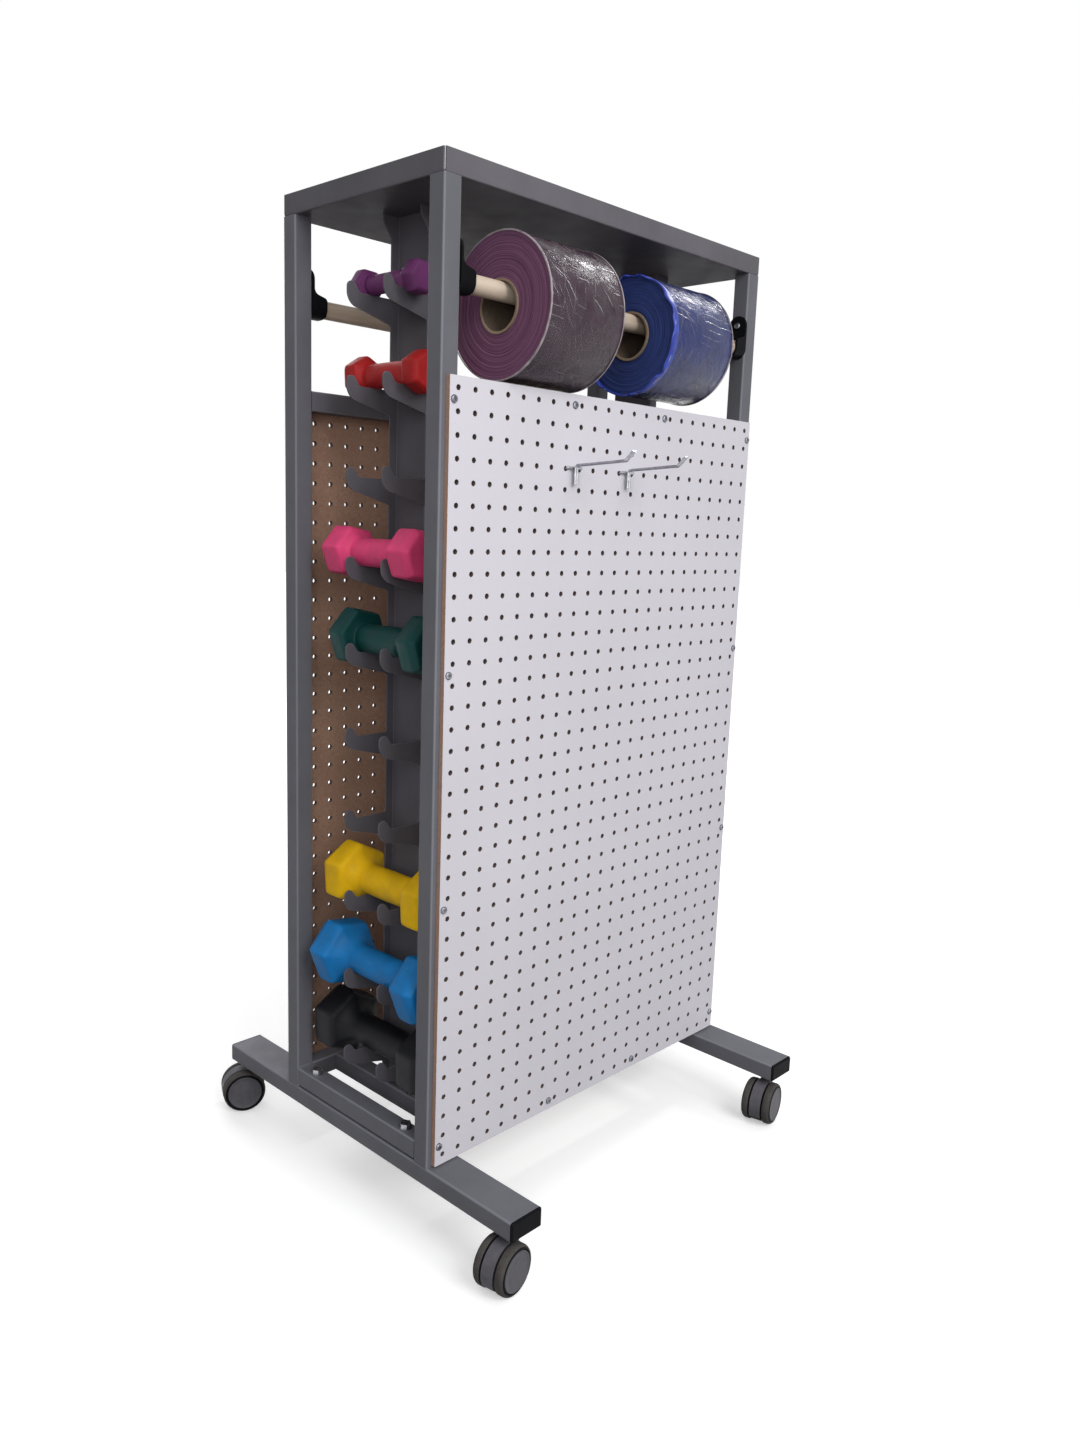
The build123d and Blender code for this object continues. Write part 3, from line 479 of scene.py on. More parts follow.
def neoprene(name, base):
    """A matt rubber skin with a fine pebble; pale dust shows a little more on bright colours."""
    paint = Paint(name, Specular_IOR_Level=0.18)
    cloud = paint.noise(30.0, 3.0, 0.6)
    pebble = paint.noise(1900.0, 2.0, 0.5)
    dust_share = 0.02 + 0.25 * min(0.32, max(base))
    dust = paint.between(paint.noise(75.0, 5.0, 0.7), 0.62, 0.78, 0.0, dust_share)
    tone = paint.mix(paint.between(cloud, 0.35, 0.65), scaled(base, 0.88), scaled(base, 1.10))
    paint.colour(paint.mix(dust, tone, (0.55, 0.53, 0.50)))
    paint.rough(paint.between(cloud, 0.3, 0.7, 0.46, 0.60))
    paint.bump(pebble, 0.00012, 0.4)
    return paint.material


def caster_grey():
    paint = Paint("caster_grey", Specular_IOR_Level=0.10)
    cloud = paint.noise(120.0, 3.0, 0.5)
    tone = paint.mix(paint.between(cloud, 0.3, 0.7), (0.090, 0.087, 0.099), (0.112, 0.108, 0.122))
    # painted highlight on the edges, and painted shade in the crevices below
    tone = paint.edges(tone, (0.20, 0.20, 0.22), 0.0006)
    paint.colour(paint.crevice_shade(tone, (0.003, 0.003, 0.004), 0.0045))
    paint.rough(paint.between(cloud, 0.3, 0.7, 0.40, 0.52))
    paint.bump(paint.noise(1800.0, 2.0), 0.0001, 0.3)
    return paint.material


def caster_tread():
    """Soft grey-brown tread with pale flecks of floor dust."""
    paint = Paint("caster_tread", Specular_IOR_Level=0.08)
    smear = paint.noise(130.0, 4.0, 0.7)
    fleck = paint.noise(460.0, 3.0, 0.8)
    tone = paint.mix(paint.between(smear, 0.3, 0.7), (0.054, 0.049, 0.047), (0.082, 0.076, 0.072))
    tone = paint.mix(paint.between(fleck, 0.68, 0.74, 0.0, 0.8), tone, (0.50, 0.42, 0.28))
    # painted shade in the crevices
    paint.colour(paint.crevice_shade(tone, (0.006, 0.006, 0.006), 0.0025))
    paint.rough(paint.between(smear, 0.3, 0.7, 0.58, 0.78))
    paint.bump(fleck, 0.0002, 0.4)
    return paint.material


COAT = powder_coat()
# the tray and the columns take copies of the same powder coat toned darker as painted shade; the columns'
# copy also paints stronger highlights on its cut edges
SHADED_TRAY_COAT = powder_coat("tray_powder_coat_shaded", (0.136, 0.131, 0.145), 1.6, 0.01)
SHADED_COLUMN_COAT = powder_coat("column_powder_coat_shaded", (0.116, 0.110, 0.126), 2.1, 0.03, 0.0)
WELD = powder_coat("weld_coat", (0.10, 0.10, 0.11))
WHITE = melamine()
BROWN = hardboard()
RIM = drilled_edge()
SHADED_HOLE = shaded_hole_wall()
ZINC = zinc("zinc_plate", (0.25, 0.255, 0.28), (0.50, 0.51, 0.545))
SCREW_ZINC = zinc("screw_zinc", (0.11, 0.113, 0.130), (0.27, 0.275, 0.305))
BLACK = black_plastic()
DOWEL = rod_wood()
CARD = cardboard("card_core", (0.22, 0.16, 0.11), (0.325, 0.245, 0.178))
# the inside of the core, toned darker as painted shade
SHADED_CARD_INSIDE = cardboard("card_core_inside_shaded", (0.070, 0.052, 0.038), (0.115, 0.086, 0.064))
GREY = caster_grey()
TREAD = caster_tread()
ROLL_Z = sum(corner.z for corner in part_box("roll_purple_core")) / 2
LATEX = {
    "purple": latex("purple_latex", (0.082, 0.028, 0.064), (0.215, 0.092, 0.172), ROLL_Z),
    "blue": latex("blue_latex", (0.017, 0.032, 0.125), (0.034, 0.060, 0.225), ROLL_Z),
}
WRAPPED = {
    "purple": wrapped_latex("purple_latex_wrapped", (0.028, 0.012, 0.023), (0.060, 0.031, 0.050), ROLL_Z,
                            0.22),
    "blue": wrapped_latex("blue_latex_wrapped", (0.008, 0.014, 0.080), (0.016, 0.027, 0.155), ROLL_Z,
                          0.38),
}
FILM_EDGE = plain_gloss("film_edge", (0.22, 0.18, 0.20), (0.40, 0.35, 0.37))
LOOSE_BLUE = plain_gloss("loose_blue_latex", (0.018, 0.034, 0.27), (0.036, 0.070, 0.42))
FILM = {
    "purple": wrap_film("film_over_purple", (0.17, 0.155, 0.165), ROLL_Z),
    "blue": wrap_film("film_over_blue", (0.09, 0.11, 0.25), ROLL_Z),
}


# ============================== mesh helpers ===================================================
def add_piece(name, vertices, faces, materials, body, indices=None, smooth=True):
    """A mesh object in the shared frame that rides on a CAD body."""
    mesh = bpy.data.meshes.new(name)
    mesh.from_pydata([tuple(v) for v in vertices], [], faces)
    for material in materials:
        mesh.materials.append(material)
    if indices:
        mesh.polygons.foreach_set("material_index", indices)
    mesh.polygons.foreach_set("use_smooth", [smooth] * len(faces))
    mesh.update()
    piece = bpy.data.objects.new(name, mesh)
    bpy.context.scene.collection.objects.link(piece)
    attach(piece, body)
    return piece


def stitch(first, second, count):
    """Quads between two closed rings of vertices that start at the given indices."""
    return [(first + k, first + (k + 1) % count, second + (k + 1) % count, second + k)
            for k in range(count)]


def turned(profile, origin, axis, steps, wobble=None):
    """Vertices and faces of a profile (radius, distance along the axis) turned round an axis."""
    axis = Vector(axis).normalized()
    side = axis.orthogonal().normalized()
    other = axis.cross(side)
    vertices = []
    for number, (radius, along) in enumerate(profile):
        for k in range(steps):
            angle = 2 * math.pi * k / steps
            shift = wobble(number, angle) if wobble else (0.0, 0.0)
            out = side * math.cos(angle) + other * math.sin(angle)
            vertices.append(Vector(origin) + out * (radius + shift[0]) + axis * (along + shift[1]))
    faces = []
    for ring in range(len(profile) - 1):
        faces += stitch(ring * steps, (ring + 1) * steps, steps)
    return vertices, faces


def box_middle(node):
    low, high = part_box(node)
    return (low + high) / 2


# ============================== pegboards ======================================================
# the steps of a square's outline that lie on each of its sides, counted from the middle of the right
RIGHT_STEPS = (14, 15, 0, 1)
TOP_STEPS = (2, 3, 4, 5)
LEFT_STEPS = (6, 7, 8, 9)
BOTTOM_STEPS = (10, 11, 12, 13)
# the places of the board's materials in its list
WHITE_SIDE, BROWN_SIDE, TORN_RIM, HOLE_WALL = range(4)


def circle_point(k):
    angle = math.radians(360 / HOLE_STEPS * k)
    return math.cos(angle), math.sin(angle)


def square_point(k, half):
    """A point of a square's outline, in steps that include its corners."""
    across, up = circle_point(k)
    reach = half / max(abs(across), abs(up))
    return across * reach, up * reach


def pegboard(name):
    """The whole grid of holes, each in a square cell, cut through a board white on one face."""
    low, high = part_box(name)
    outward = -1 if (low.y + high.y) < 0 else 1
    face_y = low.y if outward < 0 else high.y
    back_y = high.y if outward < 0 else low.y
    vertices = []
    known = {}
    faces = []
    kinds = []

    def vertex(x, y, z):
        key = (round(x, 6), round(y, 6), round(z, 6))
        if key not in known:
            known[key] = len(vertices)
            vertices.append((x, y, z))
        return known[key]

    def add_face(quad, kind):
        faces.append(quad if outward < 0 else quad[::-1])
        kinds.append(kind)

    rim = PEG_RADIUS + RIM_SPREAD
    dip = face_y - outward * RIM_DIP
    square = [square_point(k, PEG_PITCH / 2) for k in range(HOLE_STEPS)]
    circle = [circle_point(k) for k in range(HOLE_STEPS)]
    for column in range(PEG_COLUMNS):
        for row in range(PEG_ROWS):
            x = low.x + PEG_PITCH * (column + 0.5)
            z = high.z - PEG_PITCH * (row + 0.5)
            rings = [
                [vertex(x + u, face_y, z + v) for u, v in square],
                [vertex(x + u * rim, face_y, z + v * rim) for u, v in circle],
                [vertex(x + u * PEG_RADIUS, dip, z + v * PEG_RADIUS) for u, v in circle],
                [vertex(x + u * PEG_RADIUS, back_y, z + v * PEG_RADIUS) for u, v in circle],
                [vertex(x + u, back_y, z + v) for u, v in square],
            ]
            for kind, near, far in zip((WHITE_SIDE, TORN_RIM, HOLE_WALL, BROWN_SIDE), rings, rings[1:]):
                for k in range(HOLE_STEPS):
                    following = (k + 1) % HOLE_STEPS
                    add_face((near[k], near[following], far[following], far[k]), kind)
            edge = []
            if column == 0:
                edge += LEFT_STEPS
            if column == PEG_COLUMNS - 1:
                edge += RIGHT_STEPS
            if row == 0:
                edge += TOP_STEPS
            if row == PEG_ROWS - 1:
                edge += BOTTOM_STEPS
            for k in edge:
                following = (k + 1) % HOLE_STEPS
                add_face((rings[0][following], rings[0][k], rings[-1][k], rings[-1][following]),
                         BROWN_SIDE)
    piece = add_piece("perforated_" + name, vertices, faces, [WHITE, BROWN, RIM, SHADED_HOLE], "rack",
                      kinds, smooth=False)
    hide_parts(name)


for board in ("pegboard_front", "pegboard_back"):
    pegboard(board)


# ============================== dumbbells ======================================================
# how far in from the end, as a share of the head's radius, and the hexagon's scale there
HEAD_RINGS = ((0.0, 0.0), (0.0, 0.44), (0.0, 0.72), (0.006, 0.795), (0.028, 0.845), (0.060, 0.880),
              (0.165, 0.953), (0.205, 0.976), (0.255, 0.993), (0.310, 1.0))
# place from the head's inner end, outwards in head radii and inwards as a share of the neck; then
# how much of the head's size is left there, and how round the section has become
NECK_RINGS = ((0.30, 1.0, 0.0), (0.20, 0.992, 0.0), (0.12, 0.965, 0.0), (0.06, 0.915, 0.0),
              (0.015, 0.83, 0.03), (-0.02, 0.72, 0.12), (-0.10, 0.56, 0.35), (-0.26, 0.37, 0.60),
              (-0.46, 0.21, 0.80), (-0.70, 0.09, 0.95), (-0.90, 0.02, 1.0), (-1.0, 0.0, 1.0))


def hex_outline(radius, turn, sharpness):
    """A hexagon whose corners are rounded, as points at even angles."""
    flat = radius * math.cos(math.pi / 6)
    points = []
    for k in range(DUMBBELL_STEPS):
        angle = 2 * math.pi * k / DUMBBELL_STEPS
        total = 0.0
        for side in range(6):
            facing = math.cos(angle - math.radians(turn + 30 + 60 * side))
            if facing > 0:
                total += facing ** sharpness
        reach = flat / total ** (1 / sharpness)
        points.append((reach * math.cos(angle), reach * math.sin(angle)))
    return points


def circle_outline(radius):
    angles = [2 * math.pi * k / DUMBBELL_STEPS for k in range(DUMBBELL_STEPS)]
    return [(radius * math.cos(angle), radius * math.sin(angle)) for angle in angles]


def blended(first, second, share):
    return [(u + (p - u) * share, v + (q - v) * share) for (u, v), (p, q) in zip(first, second)]


def dumbbell(colour):
    """A hex dumbbell dipped in neoprene: soft edges, and necks that flow into a barrelled grip."""
    node = "dumbbell_" + colour
    head, radius, turn, grip, sharpness, base = DUMBBELLS[colour]
    low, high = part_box(node)
    middle = (low + high) / 2
    half = (high.y - low.y) / 2
    inner = half - head
    room = inner - COLUMN_HALF - abs(middle.y)
    flow = max(SHORTEST_NECK * radius, min(LONGEST_NECK * radius, room))
    rings = [(half - depth * radius, hex_outline(scale * radius, turn, sharpness))
             for depth, scale in HEAD_RINGS]
    for place, size, round_share in NECK_RINGS:
        along = inner + place * (radius if place > 0 else flow)
        reach = grip + (radius - grip) * size
        round_reach = reach * NECK_ROUNDING if size else grip
        points = blended(hex_outline(reach, turn, sharpness), circle_outline(round_reach), round_share)
        rings.append((along, points))
    start = inner - flow
    for number in range(1, GRIP_RINGS + 1):
        along = start * (1 - number / GRIP_RINGS)
        bulge = grip * (1 + GRIP_BULGE * (1 - (along / start) ** 2))
        rings.append((along, circle_outline(bulge)))
    rings += [(-along, points) for along, points in reversed(rings[:-1])]
    vertices = []
    faces = []
    for along, points in rings:
        vertices += [(middle.x + u, middle.y + along, middle.z + v) for u, v in points]
    for ring in range(len(rings) - 1):
        faces += stitch(ring * DUMBBELL_STEPS, (ring + 1) * DUMBBELL_STEPS, DUMBBELL_STEPS)
    piece = add_piece("neoprene_" + node, vertices, faces, [neoprene(node + "_skin", base)],
                      node)
    weld = piece.modifiers.new("weld", "WELD")
    weld.merge_threshold = MERGE_GAP
    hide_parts(node)


for name in DUMBBELLS:
    dumbbell(name)


# ============================== rods, rolls and casters ========================================
def rod(face):
    node = "rod_" + face
    low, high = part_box(node)
    radius = (high.z - low.z) / 2
    profile = [(0.0001, 0.0), (radius - ROD_BEVEL, 0.0), (radius - ROD_BEVEL * 0.3, ROD_BEVEL * 0.3),
               (radius, ROD_BEVEL)]
    length = high.x - low.x
    profile += [(reach, length - along) for reach, along in reversed(profile)]
    middle = (low + high) / 2
    vertices, faces = turned(profile, (low.x, middle.y, middle.z), (1, 0, 0), ROD_STEPS)
    piece = add_piece("dowel_" + face, vertices, faces, [DOWEL], node)
    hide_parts(node)


# depth of the uneven turns on a roll's ends, the seed of their order, and the seed of its ripples
ROLLS = {"purple": (0.0010, 11, 3.0), "blue": (0.0014, 23, 9.0)}


def wound_band(colour):
    """The wound band, with uneven turns on its ends."""
    body = "roll_" + colour
    node = f"roll_{colour}_band"
    low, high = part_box(node)
    middle = (low + high) / 2
    radius = (high.z - low.z) / 2
    width = high.x - low.x
    depth, turn_seed, ripple_seed = ROLLS[colour]
    local = random.Random(turn_seed)
    end = []
    for turn in range(BAND_TURNS):
        reach = CORE_OUTSIDE + (radius - BAND_MARGIN - CORE_OUTSIDE) * turn / (BAND_TURNS - 1)
        end.append((reach, BAND_INSET + depth * (0.5 + 0.5 * local.uniform(-1, 1))))
    profile = end + [(radius, BAND_SHOULDER), (radius, width - BAND_SHOULDER)]
    profile += [(reach, width - along) for reach, along in reversed(end)]

    def wobble(number, angle):
        if number in (BAND_TURNS, BAND_TURNS + 1):
            return 0.0, 0.0
        outward = profile[number][0] * 140 + ripple_seed
        place = Vector((math.cos(angle) * 1.6, math.sin(angle) * 1.6, outward))
        inward = 1 if number < BAND_TURNS else -1
        return 0.0, inward * depth * 0.7 * (noise.noise(place) + 0.25)

    start = (low.x, middle.y, middle.z)
    vertices, faces = turned(profile, start, (1, 0, 0), BAND_STEPS, wobble)
    kinds = [int(ring == BAND_TURNS) for ring in range(len(profile) - 1) for _ in range(BAND_STEPS)]
    band = add_piece("wound_band_" + colour, vertices, faces, [LATEX[colour], WRAPPED[colour]], body,
                     kinds)
    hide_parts(node)


def card_core(colour):
    """The cardboard tube, with softened inner rims and an inside toned darker as painted shade."""
    node = f"roll_{colour}_core"
    low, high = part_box(node)
    middle = box_middle(f"roll_{colour}_band")
    length = high.x - low.x
    outline = [(CORE_OUTSIDE, 0.0), (CORE_OUTSIDE, length), (CORE_OUTSIDE - CARD_RIM, length),
               (CORE_INSIDE + CARD_RIM, length), (CORE_INSIDE, length - CARD_RIM),
               (CORE_INSIDE, CARD_RIM), (CORE_INSIDE + CARD_RIM, 0.0), (CORE_OUTSIDE, 0.0)]
    inside = outline.index((CORE_INSIDE, length - CARD_RIM))
    vertices, faces = turned(outline, (low.x, middle.y, middle.z), (1, 0, 0), CORE_STEPS)
    kinds = [int(ring == inside) for ring in range(len(outline) - 1) for _ in range(CORE_STEPS)]
    core = add_piece("card_core_" + colour, vertices, faces, [CARD, SHADED_CARD_INSIDE], "roll_" + colour,
                     kinds)
    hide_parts(node)


def film_skin(colour):
    """The film round the band, drawn tight but creased."""
    node = f"roll_{colour}_film"
    low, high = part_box(node)
    band_low, band_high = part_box(f"roll_{colour}_band")
    middle = (band_low + band_high) / 2
    radius = (band_high.z - band_low.z) / 2
    span = high.x - low.x
    seed = ROLLS[colour][2]
    skin = [(radius + FILM_LIFT, span * k / (FILM_STATIONS - 1)) for k in range(FILM_STATIONS)]

    def crumple(number, angle):
        across = skin[number][1]
        diagonal = angle * 3.0 + across * 38
        place = Vector((math.cos(angle) * 2.2, math.sin(angle) * 2.2, across * 26 + seed))
        fold = abs(noise.noise(place * 1.5)) - 0.28
        crease = max(0.0, 0.12 - abs(math.sin(diagonal * 0.5 + 2.2 * noise.noise(place)))) * 3.0
        return 0.0009 * fold + 0.0008 * crease - 0.0002, 0.0

    vertices, faces = turned(skin, (low.x, middle.y, middle.z), (1, 0, 0), FILM_STEPS, crumple)
    film = add_piece("wrap_film_" + colour, vertices, faces, [FILM[colour]], "roll_" + colour)
    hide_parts(node)


def film_rim(colour):
    """The cut edges of the film, turned a little over both ends of the roll."""
    body = "roll_" + colour
    low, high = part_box(f"roll_{colour}_film")
    middle = (low + high) / 2
    radius = (high.z - low.z) / 2
    # rise over the film, and distance in from its end
    strip = ((-0.0014, -0.0006), (0.0001, -0.0008), (0.0005, 0.0), (0.0003, 0.0012))
    for side, x, way in (("left", low.x, 1), ("right", high.x, -1)):
        profile = [(radius + rise, along) for rise, along in strip]

        def flutter(number, angle):
            wave = noise.noise(Vector((math.cos(angle) * 4, math.sin(angle) * 4, x * 50)))
            return (0.0003 * wave, 0.0006 * wave) if number < 3 else (0.0, 0.0)

        vertices, faces = turned(profile, (x, middle.y, middle.z), (way, 0, 0), FILM_RIM_STEPS,
                                 flutter)
        add_piece(f"film_edge_{colour}_{side}", vertices, faces, [FILM_EDGE], body)


def ruffled_edge():
    """The loose outer turns of the blue band, waving past the edge of its film."""
    low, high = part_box("roll_blue_band")
    middle = (low + high) / 2
    radius = (high.z - low.z) / 2
    profile = [(radius - 0.0016, 0.0030), (radius - 0.0012, -0.0022), (radius - 0.0002, -0.0036),
               (radius + 0.0010, -0.0034), (radius + 0.0014, 0.0005), (radius + 0.0003, 0.0075)]
    # how much each ring of the profile waves
    shares = (0.0, 0.8, 1.0, 1.0, 0.6, 0.0)

    def ruffle(number, angle):
        place = Vector((math.cos(angle) * 2.1, math.sin(angle) * 2.1, 4.7))
        drift = noise.noise(place)
        wave = 0.7 * math.sin(9 * angle + 3.5 * drift) + 0.55 * math.sin(19 * angle + 6.0 * drift)
        lift = math.sin(13 * angle + 4.0 * drift)
        return 0.0010 * lift * shares[number], 0.0026 * wave * shares[number]

    vertices, faces = turned(profile, (low.x, middle.y, middle.z), (1, 0, 0), RUFFLE_STEPS, ruffle)
    add_piece("ruffled_edge_blue", vertices, faces, [LOOSE_BLUE], "roll_blue")


def weld_bead(name, start, end, outward, radius=BEAD_RADIUS):
    """A short fillet of overlapping ripples laid along an inside corner, under the powder."""
    start, end, outward = Vector(start), Vector(end), Vector(outward).normalized()
    along = (end - start).normalized()
    across = along.cross(outward)
    length = (end - start).length
    count = max(8, int(length / BEAD_STEP))
    vertices = []
    for number in range(count + 1):
        share = number / count
        taper = min(1.0, 5 * share + 0.25, 5 * (1 - share) + 0.25)
        wave = math.sin(share * length / BEAD_RIPPLE * math.pi)
        ripple = 1.0 + 0.16 * wave + 0.10 * rng.uniform(-1, 1)
        reach = radius * taper * ripple
        for k in range(BEAD_STEPS):
            angle = math.pi * k / (BEAD_STEPS - 1)
            vertices.append(start + along * length * share + outward * reach * math.sin(angle) * 0.75
                            + across * reach * math.cos(angle))
    faces = []
    for number in range(count):
        near = number * BEAD_STEPS
        far = near + BEAD_STEPS
        faces += [(near + k, near + k + 1, far + k + 1, far + k) for k in range(BEAD_STEPS - 1)]
    add_piece(name, vertices, faces, [WELD], "rack")


def welds():
    """Beads in the corners where rails meet posts, and at the top and the foot of each post."""
    # how far each kind of bead stops short of the tube's sides
    rail_gap = 0.002
    post_gap = 0.003
    foot_gap = 0.004
    for side in (-1, 1):
        low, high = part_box("end_rail_left" if side < 0 else "end_rail_right")
        for end, y in ((-1, low.y), (1, high.y)):
            weld_bead(f"weld_end_rail_{side + 1}_{end + 1}", (low.x + rail_gap, y, high.z),
                      (high.x - rail_gap, y, high.z), (0, -end, 1))
    for face in ("front", "back"):
        for level in ("top", "bottom"):
            low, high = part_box(f"rail_{level}_{face}")
            for end, x in ((-1, low.x), (1, high.x)):
                weld_bead(f"weld_rail_{level}_{face}_{end + 1}", (x, low.y + rail_gap, high.z),
                          (x, high.y - rail_gap, high.z), (-end, 0, 1))
                if level == "top":
                    weld_bead(f"weld_rail_under_{face}_{end + 1}", (x, low.y + rail_gap, low.z),
                              (x, high.y - rail_gap, low.z), (-end, 0, -1))
        for side in ("left", "right"):
            low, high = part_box(f"post_{face}_{side}")
            inward = 1 if low.y < 0 else -1
            y = high.y if inward > 0 else low.y
            weld_bead(f"weld_post_{face}_{side}", (low.x + post_gap, y, high.z),
                      (high.x - post_gap, y, high.z), (0, inward, -1), POST_BEAD_RADIUS)
            weld_bead(f"weld_foot_{face}_{side}", (low.x + foot_gap, y, low.z),
                      (high.x - foot_gap, y, low.z), (0, inward, 1), POST_BEAD_RADIUS)


def wheel(caster, hand):
    """A wheel on the caster's own axle line: a rounded tread, sides black as painted shade, and a cap with
    a raised rim.
    """
    body = f"caster_{caster}_wheel_{hand}"
    joint = JOINTS[body + "_spin"]
    centre = Vector(joint["pos_m"])
    axis = Vector(joint["axis"]).normalized()
    if (box_middle(body) - centre).dot(axis) < 0:
        axis = -axis
    radius = WHEEL_RADIUS
    inner = WHEEL_INNER
    outer = inner + WHEEL_WIDTH
    tread = [(AXLE_RADIUS, inner), (radius - 0.0026, inner), (radius - 0.0008, inner + 0.0008),
             (radius, inner + 0.0018), (radius, outer - 0.0050), (radius - 0.0004, outer - 0.0034),
             (radius - 0.0013, outer - 0.0018), (radius - 0.0026, outer - 0.0008),
             (radius - 0.0042, outer - 0.0002), (HUB_RADIUS + 0.0010, outer),
             (HUB_RADIUS + 0.0008, outer - 0.0004), (HUB_RADIUS + 0.0008, outer - CAP_SINK),
             (HUB_RADIUS - 0.0010, outer - CAP_SINK)]
    cap = [(HUB_RADIUS - 0.0004, outer - CAP_SINK), (HUB_RADIUS - 0.0004, outer),
           (HUB_RADIUS - 0.0007, outer + 0.0003), (HUB_RADIUS - 0.0014, outer + 0.0003),
           (HUB_RADIUS - 0.0020, outer - 0.0003),
           (HUB_RADIUS * 0.7, outer - 0.0002), (HUB_RADIUS * 0.35, outer - 0.0001), (0.0001, outer)]
    vertices, faces = turned(tread, centre, axis, WHEEL_STEPS)
    last = len(tread) - 2
    # the rings of the side towards the drum, and of the outer side round the cap, black as painted shade
    # in the gap and in the groove round the cap
    dark = (0, 1, 2, last - 4, last - 3, last - 2, last - 1, last)
    kinds = [int(ring in dark) for ring in range(last + 1) for _ in range(WHEEL_STEPS)]
    piece = add_piece("tread_" + body, vertices, faces, [TREAD, BLACK], body, kinds)
    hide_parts(body)
    vertices, faces = turned(cap, centre, axis, WHEEL_STEPS)
    add_piece("hub_cap_" + body, vertices, faces, [GREY], body)


def shade_drum(caster):
    """A black drum between a caster's wheels, put where the gap between them lies in shade: painted shade,
    fuller below the edge of its hood.
    """
    first, second = (Vector(JOINTS[f"caster_{caster}_wheel_{hand}_spin"]["pos_m"])
                     for hand in ("left", "right"))
    axis = Vector(JOINTS[f"caster_{caster}_wheel_left_spin"]["axis"]).normalized()
    side = [(AXLE_RADIUS, DRUM_HALF), (DRUM_RADIUS - DRUM_BEVEL, DRUM_HALF),
            (DRUM_RADIUS, DRUM_HALF - DRUM_BEVEL)]
    profile = [(reach, -along) for reach, along in side] + side[::-1]
    middle = (first + second) / 2
    vertices, faces = turned(profile, middle, axis, DRUM_STEPS)
    for vertex in vertices:
        out = vertex - middle
        out -= axis * out.dot(axis)
        if out.z < -HOOD_END * out.length and out.length > DRUM_RADIUS / 2:
            vertex += out * (KEEL_RADIUS / DRUM_RADIUS - 1)
    add_piece("shade_drum_" + caster, vertices, faces, [BLACK], f"caster_{caster}")


for face_name in ("front", "back"):
    rod(face_name)
for roll_colour in ROLLS:
    wound_band(roll_colour)
    card_core(roll_colour)
    film_skin(roll_colour)
    film_rim(roll_colour)
ruffled_edge()
welds()
for place_name in ("front_left", "front_right", "back_left", "back_right"):
    shade_drum(place_name)
    for hand_name in ("left", "right"):
        wheel(place_name, hand_name)


# ============================== finishes of the carried-over pieces ============================
def finish_for(node):
    if node.startswith("tray"):
        return SHADED_TRAY_COAT
    if node.startswith("dumbbell_column"):
        return SHADED_COLUMN_COAT
    if node.startswith(("post", "rail", "end_rail", "cross_beam", "leg_left", "leg_right")):
        return COAT
    if node == "leg_end_caps" or node.startswith("rod_bracket"):
        return BLACK
    if node.endswith("_housing"):
        return GREY
    if node == "pan_head_screws":
        return SCREW_ZINC
    return ZINC


for node_name, node in NODES.items():
    if not node.hide_render:
        node.data.materials.clear()
        node.data.materials.append(finish_for(node_name))


# ============================== stage, light and camera ========================================
FILL_STRENGTH = 0.40
BACKDROP_STRENGTH = 1.0
FLOOR_SIZE = 14.0
FLOOR_SHADE = 0.80
FLOOR_BOUNCE = 0.08
FLOOR_GLOW = 0.38
FLOOR_NEAR = 0.55
FLOOR_FAR = 1.7


def seen_directly(tree):
    """1 for rays that see the backdrop itself: from the camera, in metal or through film."""
    path = tree.nodes.new("ShaderNodeLightPath")
    shares = [path.outputs[name] for name in ("Is Camera Ray", "Is Glossy Ray", "Is Transmission Ray")]
    total = shares[0]
    for share in shares[1:]:
        larger = tree.nodes.new("ShaderNodeMath")
        larger.operation = "MAXIMUM"
        tree.links.new(total, larger.inputs[0])
        tree.links.new(share, larger.inputs[1])
        total = larger.outputs[0]
    return total


def floor_material():
    """A pale floor: white to the camera away from the object, and dull to the light it bounces."""
    material = bpy.data.materials.new("pale_floor")
    material.use_nodes = True
    tree = material.node_tree
    shader = tree.nodes["Principled BSDF"]
    shader.inputs["Roughness"].default_value = 0.9
    shader.inputs["Specular IOR Level"].default_value = 0.1
    direct = seen_directly(tree)
    shade = tree.nodes.new("ShaderNodeMix")
    shade.data_type = "RGBA"
    shade.inputs["A"].default_value = (*3 * [FLOOR_BOUNCE], 1.0)
    shade.inputs["B"].default_value = (*3 * [FLOOR_SHADE], 1.0)
    tree.links.new(direct, shade.inputs["Factor"])
    tree.links.new(shade.outputs["Result"], shader.inputs["Base Color"])
    place = tree.nodes.new("ShaderNodeTexCoord")
    distance = tree.nodes.new("ShaderNodeVectorMath")
    distance.operation = "LENGTH"
    tree.links.new(place.outputs["Object"], distance.inputs[0])
    away = tree.nodes.new("ShaderNodeMapRange")
    away.interpolation_type = "SMOOTHSTEP"
    away.inputs["From Min"].default_value = FLOOR_NEAR
    away.inputs["From Max"].default_value = FLOOR_FAR
    away.inputs["To Min"].default_value = FLOOR_GLOW
    tree.links.new(distance.outputs["Value"], away.inputs["Value"])
    seen = tree.nodes.new("ShaderNodeMath")
    seen.operation = "MULTIPLY"
    tree.links.new(away.outputs["Result"], seen.inputs[0])
    tree.links.new(direct, seen.inputs[1])
    shader.inputs["Emission Color"].default_value = (1.0, 1.0, 1.0, 1.0)
    tree.links.new(seen.outputs[0], shader.inputs["Emission Strength"])
    return material


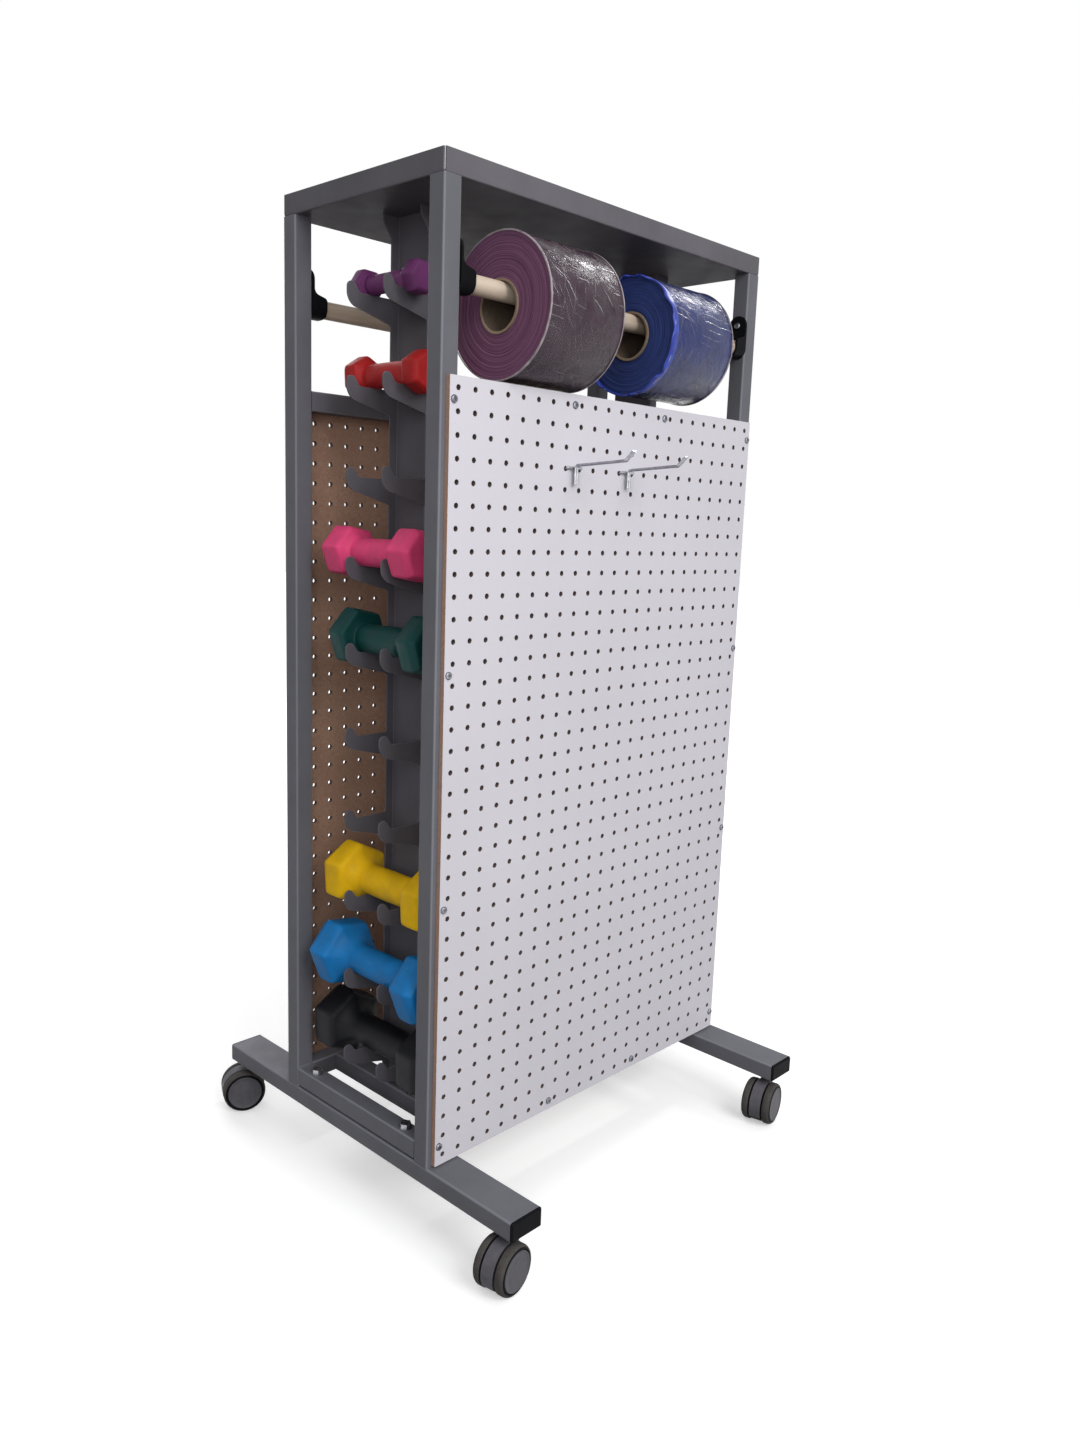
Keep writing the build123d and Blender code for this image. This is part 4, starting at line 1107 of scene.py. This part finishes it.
def floor():
    mesh = bpy.data.meshes.new("floor")
    corner_signs = ((-1, -1), (1, -1), (1, 1), (-1, 1))
    mesh.from_pydata([(u * FLOOR_SIZE, v * FLOOR_SIZE, 0) for u, v in corner_signs], [], [(0, 1, 2, 3)])
    mesh.materials.append(floor_material())
    plane = bpy.data.objects.new("floor", mesh)
    bpy.context.scene.collection.objects.link(plane)


def world():
    sky = bpy.data.worlds.new("studio")
    bpy.context.scene.world = sky
    sky.use_nodes = True
    tree = sky.node_tree
    tree.nodes.clear()
    output = tree.nodes.new("ShaderNodeOutputWorld")
    fill = tree.nodes.new("ShaderNodeBackground")
    fill.inputs["Color"].default_value = (1.0, 1.0, 1.0, 1.0)
    fill.inputs["Strength"].default_value = FILL_STRENGTH
    seen = tree.nodes.new("ShaderNodeBackground")
    seen.inputs["Color"].default_value = (1.0, 1.0, 1.0, 1.0)
    seen.inputs["Strength"].default_value = BACKDROP_STRENGTH
    blend = tree.nodes.new("ShaderNodeMixShader")
    tree.links.new(seen_directly(tree), blend.inputs["Fac"])
    tree.links.new(fill.outputs[0], blend.inputs[1])
    tree.links.new(seen.outputs[0], blend.inputs[2])
    tree.links.new(blend.outputs[0], output.inputs["Surface"])


def lamp(name, place, target, size, power):
    light = bpy.data.lights.new(name, "AREA")
    light.shape = "RECTANGLE"
    light.size, light.size_y = size
    light.energy = power
    lamp_object = bpy.data.objects.new(name, light)
    lamp_object.location = place
    aim = Vector(target) - Vector(place)
    lamp_object.rotation_euler = aim.to_track_quat("-Z", "Y").to_euler()
    bpy.context.scene.collection.objects.link(lamp_object)


def camera():
    backward = CAMERA_RIGHT.cross(CAMERA_UP)
    turn = Matrix((CAMERA_RIGHT, CAMERA_UP, backward)).transposed()
    lens = bpy.data.cameras.new("camera")
    lens.lens = CAMERA_LENS
    lens.sensor_width = 36.0
    lens.sensor_fit = "AUTO"
    lens.clip_start = 0.01
    eye = bpy.data.objects.new("camera", lens)
    eye.matrix_world = Matrix.Translation(CAMERA_PLACE) @ turn.to_4x4()
    bpy.context.scene.collection.objects.link(eye)
    bpy.context.scene.camera = eye


floor()
world()
lamp("key", (-0.5, -3.1, 2.5), (0.0, 0.0, 0.8), (2.2, 2.2), 92.0)
lamp("side", (-1.75, -1.45, 1.25), (-0.1, 0.0, 0.7), (1.1, 1.3), 13.5)
lamp("ceiling", (1.9, -0.05, 2.7), (0.0, -0.1, 0.9), (0.20, 0.60), 10.5)
lamp("back", (0.7, 3.1, 2.4), (0.0, 0.0, 0.7), (2.4, 2.4), 54.0)
camera()
bpy.context.scene.view_settings.view_transform = "Standard"
